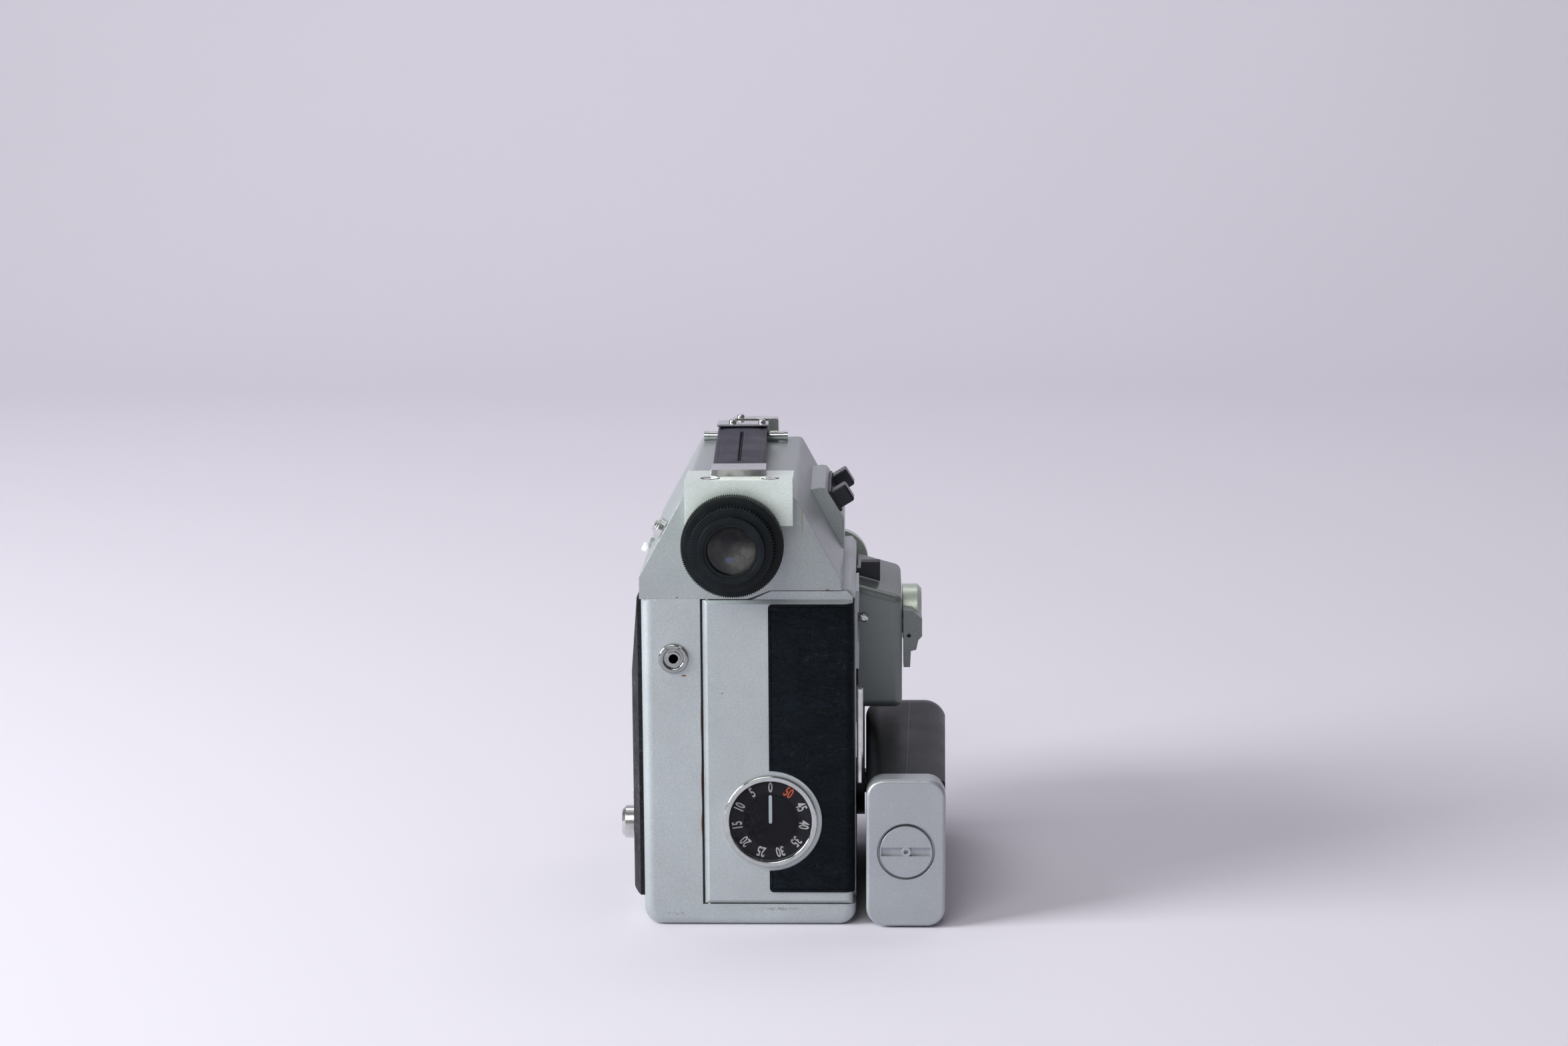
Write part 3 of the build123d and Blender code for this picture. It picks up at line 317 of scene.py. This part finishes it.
def moulded(name, base, rough=(0.35, 0.55), contrast=0.2, scale=80, ior=1.45):
    """Plain coloured moulding or printed surface with slight mottling."""
    g = Graph(name)
    colour = vary(g, base, contrast, scale)
    fine = g.noise(2400, 3.0)
    return g.out(colour, g.band(g.noise(70, 3.0), 0.3, 0.7, *rough),
                 g.bump(fine, 0.01 * MM, g.bevel_normal(0.15 * MM)), ior=ior)


def coated_glass(name, tint):
    """Deep lens glass: near black inside, with a coloured coating on a polished face."""
    g = Graph(name)
    layer = g.nodes.new("ShaderNodeLayerWeight")
    layer.inputs["Blend"].default_value = 0.35
    haze = g.noise(120, 3.0, 0.6)
    deep = g.mix(g.band(haze, 0.3, 0.7), [c * 0.5 for c in tint], tint)
    colour = g.mix(g.band(layer.outputs["Facing"], 0.1, 0.9), deep, (0.012, 0.030, 0.034))
    smear = g.band(g.noise(160, 4.0, 0.7), 0.5, 0.75, 0.02, 0.08)
    return g.out(colour, smear, coat=0.2, coat_roughness=0.02, ior=1.35)


def clear_window(name):
    """Thin clear plastic pane with faint smears."""
    g = Graph(name)
    g.bsdf.inputs["Alpha"].default_value = 0.10
    return g.out((0.02, 0.02, 0.024), g.band(g.noise(160, 4.0, 0.7), 0.5, 0.75, 0.03, 0.15))


RUST = (0.20, 0.085, 0.03)
GRIME = (0.10, 0.09, 0.085)
# Tan colours of two lines painted on the housing.
TAN_LINE_REAR = (0.34, 0.28, 0.15)
TAN_LINE_SIDE = (0.36, 0.32, 0.20)

# Spots: centre and half sizes in millimetres, colour, strength, cover.
door_spots = [
    ((-9.7, -63.0, 90.6), (0.4, 3, 0.4), GRIME, 1.0, 3.0),
]
case_spots = [
    ((-17.5, -62.0, 80.0), (0.6, 3, 11.0), RUST, 1.0, 1.2),
    ((-17.5, -62.0, 56.0), (0.7, 3, 10.0), RUST, 1.0, 1.0),
    ((-17.6, -62.0, 40.0), (0.7, 3, 6.0), RUST, 1.0, 0.9),
    ((-24.0, -62.0, 97.2), (1.4, 3, 0.5), RUST, 1.0, 1.3),
    ((12.0, -60.0, 6.8), (10.0, 5, 1.0), GRIME, 0.6, 0.5),
    ((-28.0, -60.0, 5.0), (5.0, 5, 1.2), GRIME, 0.5, 0.4),
]
housing_spots = [
    # Tan vertical line on the rear face of the housing at x 20.6.
    ((20.6, -61.5, 156.0), (0.5, 4, 8.0), TAN_LINE_REAR, 0.7, 1.0),
    ((29.9, -61.5, 129.7), (1.2, 4, 0.6), RUST, 0.8, 2.0),
    ((0.0, -60.0, 130.0), (34, 3, 1.0), RUST, 0.7, 0.30),
    ((-26.2, -62.0, 127.0), (0.5, 3, 0.4), GRIME, 1.0, 3.0),
    # Yellow-tan line running along the depth on the right side of the housing at x 35.2.
    ((35.2, -4.0, 147.5), (0.6, 4, 9.0), TAN_LINE_SIDE, 0.6, 1.0),
]

silver_case = silver_paint("silver_case", spots=case_spots, seed=0.3)
silver_door = silver_paint("silver_door", spots=door_spots, seed=0.7)
silver_top = silver_paint("silver_top", base=(0.41, 0.45, 0.455), spots=housing_spots, wear=0.6,
                          seed=1.1)
# Painted light: a lighter copy of the silver paint, for the brighter lit face of the finder
# block.
silver_block_lit = silver_paint("silver_block_lit", base=(0.78, 0.87, 0.81), seed=1.7)
silver_cap = silver_paint("silver_cap", base=(0.42, 0.445, 0.475), wear=0.8, seed=2.3)
# Painted shade: a darker copy of the silver paint, for the side pod and the grip release lever
# that sit in shade.
silver_pod_shaded = silver_paint("silver_pod_shaded", base=(0.21, 0.235, 0.23), seed=2.9)
# Painted light: a lighter copy of the silver paint, for the grip lock knob and the fps dial,
# which sit in shade.
silver_knob_lit = silver_paint("silver_knob_lit", base=(0.68, 0.76, 0.66), seed=3.1)
black_paint = dark_plastic("black_paint", (0.022, 0.023, 0.025), depth=0.03)
black_plastic = dark_plastic("black_plastic", (0.012, 0.014, 0.018), (0.22, 0.36))
grip_plastic = dark_plastic("grip_plastic", (0.012, 0.017, 0.018), (0.30, 0.42), grain=1500,
                            depth=0.03, edge=0.5, ior=1.22)
black_anodised = dark_plastic("black_anodised", (0.016, 0.016, 0.018), (0.25, 0.38), grain=4000,
                              depth=0.01, dust=0.15)
# Here crease is the colour of the lighter ridges, part rubbed wear and part painted highlight,
# and creases is its strength.
strap_hide = leatherette("strap_hide", (0.008, 0.009, 0.024), crease=(0.07, 0.07, 0.11),
                         scale=2.6, tilt=0.1, depth=0.05, rough=(0.38, 0.50), creases=0.12,
                         ior=1.4)
door_hide = leatherette("door_hide", (0.0042, 0.0070, 0.0105), crease=(0.038, 0.050, 0.068),
                        depth=0.22, creases=0.32, ior=1.18)
cover_hide = leatherette("cover_hide", (0.007, 0.009, 0.011), crease=(0.045, 0.05, 0.05),
                         scale=0.8, tilt=-0.5, depth=0.4, creases=0.4, ior=1.3)
bright = chrome("bright_chrome")
socket_chrome = chrome("socket_chrome", (0.36, 0.38, 0.37), (0.08, 0.2), dirt=0.6)
soft_chrome = chrome("soft_chrome", (0.70, 0.70, 0.69), (0.16, 0.30), 0.5)
knurl = rubber("knurled_rubber")
knurl_light = rubber("dioptre_rubber", (0.005, 0.008, 0.010), 0.6, (0.32, 0.48))
steel = plain_metal("plain_steel", (0.55, 0.55, 0.56))
brass = plain_metal("brass", (0.66, 0.50, 0.26))
dial_black = moulded("dial_black", (0.0025, 0.003, 0.006), (0.25, 0.40), ior=1.18)
dial_grey = moulded("dial_charcoal", (0.013, 0.013, 0.019), (0.35, 0.5), ior=1.2)
print_white = moulded("print_white", (0.62, 0.62, 0.62), (0.5, 0.7), 0.1)
print_orange = moulded("print_orange", (0.70, 0.12, 0.045), (0.5, 0.7), 0.1)
pointer_white = moulded("pointer_white", (0.48, 0.55, 0.60), (0.3, 0.45), 0.12)
white_cap = moulded("white_cap", (0.82, 0.84, 0.85), (0.25, 0.4), 0.06)
board_brown = moulded("phenolic_board", (0.22, 0.15, 0.05), (0.4, 0.6), 0.3, 200)
part_dark = moulded("component_bodies", (0.05, 0.045, 0.05), (0.3, 0.5), 0.5, 300)
cell_wrap = moulded("cell_wrap", (0.16, 0.14, 0.10), (0.25, 0.4), 0.3, 40)
front_glass = coated_glass("front_glass", (0.012, 0.006, 0.030))
window_glass = clear_window("window_glass")

node_material = {
    "main_casing": silver_case, "top_housing": silver_top, "viewfinder_block": silver_block_lit,
    "left_side_cover": cover_hide, "front_plate": black_paint, "film_chamber": black_plastic,
    "film_gate": steel, "lens_barrel": black_anodised, "filter_ring": black_anodised,
    "lens_elements": front_glass, "drive_motor": steel, "circuit_board": board_brown,
    "board_components": part_dark, "light_meter": part_dark, "viewfinder_tube": black_paint,
    "reflex_prism": front_glass, "eyepiece_collar": knurl, "dioptre_ring": knurl_light,
    "eyepiece_lens": front_glass, "remote_socket": socket_chrome, "carry_strap": door_hide,
    "strap_rear_plate": bright, "strap_front_plate": bright, "strap_front_rod": bright,
    "strap_anchor": soft_chrome, "roof_screws": bright, "side_pod": silver_pod_shaded,
    "pod_screw": bright, "zoom_button_bezel": black_plastic, "tripod_socket": steel,
    "door_hinge_pin": steel, "grip_pivot": steel, "film_door": silver_door,
    "door_leather": door_hide, "counter_bezel": bright, "counter_dial": dial_grey,
    "counter_window": window_glass, "counter_pointer": dial_black, "door_latch": soft_chrome,
    "grip_shell": grip_plastic, "grip_batteries": cell_wrap, "grip_contacts": brass,
    "battery_cap": silver_cap, "coin_lock": silver_cap, "trigger": black_plastic,
    "grip_lock_knob": silver_knob_lit, "grip_release_lever": silver_pod_shaded,
    "zoom_tele_button": black_plastic, "zoom_wide_button": black_plastic,
    "main_switch": black_plastic, "exposure_dial": soft_chrome,
    "battery_check_button": white_cap, "power_knob": soft_chrome, "speed_wheel": soft_chrome,
    "fps_dial": silver_knob_lit, "zoom_ring": knurl, "focus_ring": knurl, "shutter_disc": brass,
    "motor_shaft": steel, "take_up_spindle": steel,
}
for name, node in nodes.items():
    node.data.materials.clear()
    node.data.materials.append(node_material[name])


# ------------------------------------------------------------------ mesh helpers
def add(name, mesh, material, body):
    """Puts a finished mesh into the scene as a piece that rides on a CAD body."""
    obj = bpy.data.objects.new(name, mesh)
    scene.collection.objects.link(obj)
    mesh.materials.clear()
    mesh.materials.append(material)
    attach(obj, body)
    return obj


def mesh_from(name, verts, faces, smooth=True):
    """Mesh from points and faces, its doubled points merged and its normals outward."""
    mesh = bpy.data.meshes.new(name)
    mesh.from_pydata([tuple(v) for v in verts], [], faces)
    shell = bmesh.new()
    shell.from_mesh(mesh)
    bmesh.ops.remove_doubles(shell, verts=shell.verts, dist=1e-6)
    bmesh.ops.dissolve_degenerate(shell, edges=shell.edges, dist=1e-7)
    bmesh.ops.recalc_face_normals(shell, faces=shell.faces)
    shell.to_mesh(mesh)
    shell.free()
    if smooth:
        mesh.shade_smooth()
    return mesh


def lathe_y(name, profile, centre, face, smooth=True):
    """Ring or disc turned about an axis along Y through a centre.

    The profile is (radius, y) points in millimetres, with y counted from the plane y = face.
    """
    verts, faces = [], []
    steps, count = 96, len(profile)
    for i in range(steps):
        turn = 2 * math.pi * i / steps
        for radius, y in profile:
            verts.append((centre.x + radius * MM * math.cos(turn), face + y * MM,
                          centre.z + radius * MM * math.sin(turn)))
    for i in range(steps):
        j = (i + 1) % steps
        for k in range(count - 1):
            faces.append((i * count + k, j * count + k, j * count + k + 1, i * count + k + 1))
    return mesh_from(name, verts, faces, smooth)


def digits(text, size, squeeze, weight):
    """Thin mesh of a number in its own XY plane, centred, narrowed by squeeze."""
    curve = bpy.data.curves.new("number", "FONT")
    curve.body = text
    curve.size = size
    curve.align_x = "CENTER"
    curve.align_y = "CENTER"
    curve.offset = weight
    curve.extrude = 0.03 * MM
    curve.resolution_u = 6
    holder = bpy.data.objects.new("number", curve)
    scene.collection.objects.link(holder)
    bpy.context.view_layer.update()
    deps = bpy.context.evaluated_depsgraph_get()
    mesh = bpy.data.meshes.new_from_object(holder.evaluated_get(deps))
    bpy.data.objects.remove(holder)
    mesh.transform(Matrix.Diagonal((squeeze, 1.0, 1.0, 1.0)))
    xs = [v.co.x for v in mesh.vertices]
    ys = [v.co.y for v in mesh.vertices]
    mesh.transform(Matrix.Translation((-(min(xs) + max(xs)) / 2, -(min(ys) + max(ys)) / 2, 0)))
    return mesh


# ------------------------------------------------------------------ footage counter
NUMBER_STEPS = 11
NUMBER_STEP = 5
NUMBER_HEIGHT, NUMBER_SQUEEZE, NUMBER_WEIGHT = 5.3 * MM, 0.62, 0.11 * MM
NUMBER_RING = 12.75 * MM
dial_lo, dial_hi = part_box("counter_dial")
counter_x = (dial_lo.x + dial_hi.x) / 2
counter_z = (dial_lo.z + dial_hi.z) / 2
to_dial = (Matrix.Translation((counter_x, dial_lo.y - 0.04 * MM, counter_z))
           @ Matrix.Rotation(math.radians(90), 4, "X"))
for n in range(NUMBER_STEPS):
    value = n * NUMBER_STEP
    turned = Matrix.Rotation(n * 2 * math.pi / NUMBER_STEPS, 4, "Z")
    mesh = digits(str(value), NUMBER_HEIGHT, NUMBER_SQUEEZE, NUMBER_WEIGHT)
    mesh.transform(to_dial @ turned @ Matrix.Translation((0, NUMBER_RING, 0)))
    ink = print_orange if value == (NUMBER_STEPS - 1) * NUMBER_STEP else print_white
    add(f"counter_number_{value}", mesh, ink, "door")


def pointer_bar():
    """Round-ended bar on the pointer disc, from just below its centre up to the numbers."""
    half, top, foot = 0.62 * MM, 10.0 * MM, -1.0 * MM
    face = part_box("counter_pointer")[0].y
    outline = []
    for k in range(13):
        a = math.pi * k / 12
        outline.append((half * math.cos(a), top - half + half * math.sin(a)))
    for k in range(13):
        a = math.pi + math.pi * k / 12
        outline.append((half * math.cos(a), foot + half + half * math.sin(a)))
    count = len(outline)
    verts = [(counter_x + a, face - 0.12 * MM, counter_z + b) for a, b in outline]
    verts += [(counter_x + a * 1.02, face + 0.2 * MM, counter_z + b) for a, b in outline]
    faces = [tuple(range(count)), tuple(range(2 * count - 1, count - 1, -1))]
    faces += [(k, k + count, (k + 1) % count + count, (k + 1) % count) for k in range(count)]
    add("pointer_bar", mesh_from("pointer_bar", verts, faces, False), pointer_white, "pointer")


pointer_bar()

# ------------------------------------------------------------------ carrying strap
STRAP_HALF_WIDTH = 9.9 * MM
STRAP_THICKNESS = 2.1
STRAP_X = -4.0 * MM
STRAP_SKEW = math.radians(1.25)
STRAP_PIVOT = Vector((-4.0 * MM, -15.0 * MM))
STRAP_SLIT = (-43 * MM, 17 * MM)
# How far the strap's face lies below its highest point, in millimetres, by share of its length.
STRAP_RUN = ((0.0, 3.35), (0.15, 2.45), (0.31, 1.75), (0.48, 1.05), (0.64, 0.55), (0.78, 0.15),
             (0.84, 0.1), (0.92, 0.95), (1.0, 1.3))


def strap_drop(share):
    """Height lost at a share of the strap's length, between the points of its run."""
    for (t0, d0), (t1, d1) in zip(STRAP_RUN, STRAP_RUN[1:]):
        if share <= t1:
            return d0 + (d1 - d0) * (share - t0) / (t1 - t0)


def bell(u, centre, width, power=2):
    """Smooth hump, 1 at its centre; a higher power gives it a flatter top."""
    return math.exp(-((u - centre) / width) ** power)


def strap_face(u, edge, slit):
    """Shape across the upper face, in mm: crown, turned edge, stitch line and the open slit."""
    z = -(0.28 * u * u + 0.85 * edge * edge)
    z -= 0.16 * bell(abs(u), 0.80, 0.045)
    if slit:
        z -= 1.5 * bell(u, 0.0, 0.05, 4)
        z += 0.15 * bell(abs(u), 0.13, 0.05)
    return z


def strap():
    """Stiff leather strap: crowned, with turned edges and a stitched slit along its middle."""
    top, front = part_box("carry_strap")[1].z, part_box("carry_strap")[1].y
    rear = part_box("strap_rear_plate")[1].y + 0.1 * MM
    along, across = 96, 81
    turn = Matrix.Rotation(STRAP_SKEW, 2)
    verts, faces = [], []
    for i in range(along + 1):
        share = i / along
        drop = strap_drop(share)
        y = rear + (front - rear) * share
        slit = STRAP_SLIT[0] < y < STRAP_SLIT[1]
        for side in (1, -1):
            for k in range(across):
                u = (k / (across - 1) * 2 - 1) * side
                edge = max(0.0, abs(u) - 0.90) / 0.10
                if side > 0:
                    lift = strap_face(u, edge, slit)
                else:
                    lift = 0.5 * edge * edge - STRAP_THICKNESS
                x = STRAP_X + STRAP_HALF_WIDTH * u * (1.0 - 0.012 * edge)
                at = STRAP_PIVOT + turn @ (Vector((x, y)) - STRAP_PIVOT)
                verts.append((at.x, at.y, top + (lift - drop) * MM))
    ring = 2 * across
    for i in range(along):
        for k in range(ring):
            a, b = i * ring + k, i * ring + (k + 1) % ring
            faces.append((a, b, b + ring, a + ring))
    faces.append(tuple(reversed(range(ring))))
    faces.append(tuple(along * ring + k for k in range(ring)))
    piece = add("strap_leather", mesh_from("strap_leather", verts, faces), strap_hide, "camera")
    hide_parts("carry_strap")


strap()


# ------------------------------------------------------------------ eyepiece
eye_lo, eye_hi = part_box("eyepiece_lens")
EYE = (eye_lo + eye_hi) / 2
EYE_R = 9.0
EYE_CROWN = 0.55


def eye_point(right, up):
    """Point on the eye glass, in metres, from millimetres off its centre."""
    return (EYE.x + right * MM, EYE.y, EYE.z + up * MM)


def finder_view():
    """Eyepiece glass: coated front over the dim mottled picture on the finder screen, all painted
    light: a painted view through the finder, a painted lighter patch at the lower right and a
    painted bluish reflection.
    """
    g = Graph("eyepiece_glass")
    # Painted view through the finder: dim mottled light and dark.
    cloud = g.noise(210, 5.0, 0.65, distortion=0.6)
    colour = g.mix(g.band(cloud, 0.36, 0.62), (0.004, 0.005, 0.007), (0.012, 0.011, 0.012))
    # Painted patch of light at the lower right of the glass.
    light = g.spot(eye_point(4.6, -4.2), (9.0 * MM, 1.0, 9.0 * MM))
    colour = g.mix(g.math("MULTIPLY", light, g.band(cloud, 0.35, 0.6, 0.45, 1.0)), colour,
                   (0.085, 0.088, 0.078))
    # Painted bluish reflection spot just below the centre of the glass.
    shine = g.spot(eye_point(-0.3, -3.4), (2.4 * MM, 1.0, 1.6 * MM))
    colour = g.mix(g.math("MULTIPLY", shine, 0.8), colour, (0.060, 0.075, 0.125))
    return g.out(colour, roughness=0.35, coat=0.35, coat_roughness=0.02, ior=1.3)


back = (eye_hi.y - eye_lo.y) / MM
crowned = [(EYE_R * k / 10, EYE_CROWN * ((k / 10) ** 2 - 1)) for k in range(11)]
crowned += [(10.2, 0.2), (10.2, back), (0.0, back)]
eye_piece = add("eye_lens", lathe_y("eye_lens", crowned, EYE, eye_lo.y), finder_view(),
                "camera")
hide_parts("eyepiece_lens")

bowl_black = dark_plastic("eyecup_black", (0.002, 0.003, 0.004), (0.12, 0.24), depth=0.01,
                          edge=0.2, dust=0.3)
bowl = [(12.1, 0.05), (12.0, 0.0), (11.85, 0.03), (11.7, 0.15), (9.3, 1.6), (9.15, 1.72),
        (9.5, 1.85), (10.3, 1.85), (12.1, 0.6), (12.1, 0.05)]
add("eyecup_bowl", lathe_y("eyecup_bowl", bowl, EYE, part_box("dioptre_ring")[0].y), bowl_black,
    "dioptre")

# ------------------------------------------------------------------ front lens
DOME_R, DOME_EDGE, DOME_CROWN = 20.9, 0.5, 1.9
glass_lo, glass_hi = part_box("lens_elements")
glass = (glass_lo + glass_hi) / 2
dome = [(0.0, -0.1), (DOME_R, -0.1), (DOME_R, DOME_EDGE)]
dome += [(DOME_R * (1 - k / 14), DOME_EDGE + DOME_CROWN * (1 - (1 - k / 14) ** 2))
         for k in range(1, 15)]
add("front_dome", lathe_y("front_dome", dome, glass, glass_hi.y), front_glass, "camera")
retainer = [(20.7, -0.1), (20.7, 0.9), (21.1, 1.3), (22.0, 1.3), (22.2, 1.8), (22.9, 1.8),
            (23.15, 1.5), (23.15, -0.1), (20.7, -0.1)]
add("front_retainer", lathe_y("front_retainer", retainer, glass, glass_hi.y, smooth=False),
    black_anodised, "camera")


# ------------------------------------------------------------------ grip
def grip_seam():
    """Fine raised joint line between the two halves of the grip, along its upper face."""
    lo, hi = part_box("grip_shell")
    shell = BVHTree.FromObject(nodes["grip_shell"], bpy.context.evaluated_depsgraph_get())
    start, end = lo.y + 1.0 * MM, hi.y - 22.0 * MM
    off_middle, lean = -1.45 * MM, 0.028
    section = ((-0.28, -0.15), (-0.14, 0.13), (0.14, 0.13), (0.28, -0.15))
    steps, verts, faces = 30, [], []
    for i in range(steps + 1):
        y = start + (end - start) * i / steps
        x = (lo.x + hi.x) / 2 + off_middle + lean * (y - start)
        top = shell.ray_cast(Vector((x, y, hi.z + 0.05)), Vector((0, 0, -1)))[0]
        verts += [(x + a * MM, y, top.z + b * MM) for a, b in section]
    for i in range(steps):
        for k in range(4):
            a, b = i * 4 + k, i * 4 + (k + 1) % 4
            faces.append((a, b, b + 4, a + 4))
    faces += [(3, 2, 1, 0), tuple(steps * 4 + k for k in range(4))]
    add("grip_seam", mesh_from("grip_seam", verts, faces, False), black_plastic, "grip")


grip_seam()

# ------------------------------------------------------------------ stage, light and camera
def matte(name, colour):
    """Paper with a barely uneven tone."""
    g = Graph(name)
    tone = g.mix(g.noise(3.0, 2.0), [c * 0.985 for c in colour], colour)
    return g.out(tone, roughness=0.9)


def backdrop():
    """Pale sweep: flat floor that curves up into a wall well behind the object."""
    near, bend, radius, height, half_width = -4.0, 1.6, 1.2, 5.0, 6.0
    verts, faces = [], []
    section = [(near, 0.0), (bend, 0.0)]
    for k in range(1, 17):
        a = math.pi / 2 * k / 16
        section.append((bend + radius * math.sin(a), radius - radius * math.cos(a)))
    section.append((bend + radius, height))
    for y, z in section:
        verts += [(-half_width, y, z), (half_width, y, z)]
    for k in range(len(section) - 1):
        faces.append((2 * k, 2 * k + 1, 2 * k + 3, 2 * k + 2))
    obj = bpy.data.objects.new("backdrop", mesh_from("backdrop", verts, faces))
    obj.data.materials.append(matte("backdrop", (0.76, 0.73, 0.81)))
    scene.collection.objects.link(obj)


backdrop()


def softbox(name, location, target, size, power, colour):
    """Rectangular area light turned towards a point."""
    lamp = bpy.data.lights.new(name, "AREA")
    lamp.shape = "RECTANGLE"
    lamp.size, lamp.size_y = size
    lamp.energy = power
    lamp.color = colour
    obj = bpy.data.objects.new(name, lamp)
    obj.location = location
    obj.rotation_euler = (Vector(target) - Vector(location)).to_track_quat("-Z", "Y").to_euler()
    scene.collection.objects.link(obj)


AIM = (0.0, 0.0, 0.08)
softbox("window", (-1.85, -0.74, 0.95), AIM, (1.0, 1.1), 58, (0.97, 1.0, 0.99))
softbox("front_fill", (-0.5, -1.6, 1.45), AIM, (1.0, 0.9), 13, (1.0, 1.0, 0.96))
softbox("overhead", (-0.45, 0.10, 1.6), AIM, (0.8, 0.8), 1, (0.93, 0.93, 1.0))
softbox("wall_light", (0.0, 1.0, 2.4), (0.0, 2.3, 0.4), (3.0, 1.0), 23, (1.0, 0.98, 1.0))

world = bpy.data.worlds.new("studio")
world.use_nodes = True
sky = world.node_tree.nodes["Background"].inputs
sky["Color"].default_value = (0.80, 0.80, 0.86, 1.0)
sky["Strength"].default_value = 0.20
scene.world = world
scene.view_settings.view_transform = "Standard"

CAMERA_AT = (0.0445, -1.1594, 0.3408)
FOCAL_LENGTH, SENSOR_WIDTH = 68.94, 36.0
YAW, PITCH, ROLL = math.radians(1.6), math.radians(9.6), math.radians(0.35)
forward = Vector((-math.sin(YAW) * math.cos(PITCH), math.cos(YAW) * math.cos(PITCH),
                  -math.sin(PITCH)))
level = Vector((math.cos(YAW), math.sin(YAW), 0.0))
upward = level.cross(forward)
right = level * math.cos(ROLL) - upward * math.sin(ROLL)
up = upward * math.cos(ROLL) + level * math.sin(ROLL)
lens = bpy.data.cameras.new("camera")
lens.lens = FOCAL_LENGTH
lens.sensor_width = SENSOR_WIDTH
lens.clip_start, lens.clip_end = 0.05, 50.0
camera = bpy.data.objects.new("camera", lens)
turn = Matrix((right, up, -forward)).transposed().to_4x4()
camera.matrix_world = Matrix.Translation(CAMERA_AT) @ turn
scene.collection.objects.link(camera)
scene.camera = camera

bpy.context.view_layer.update()
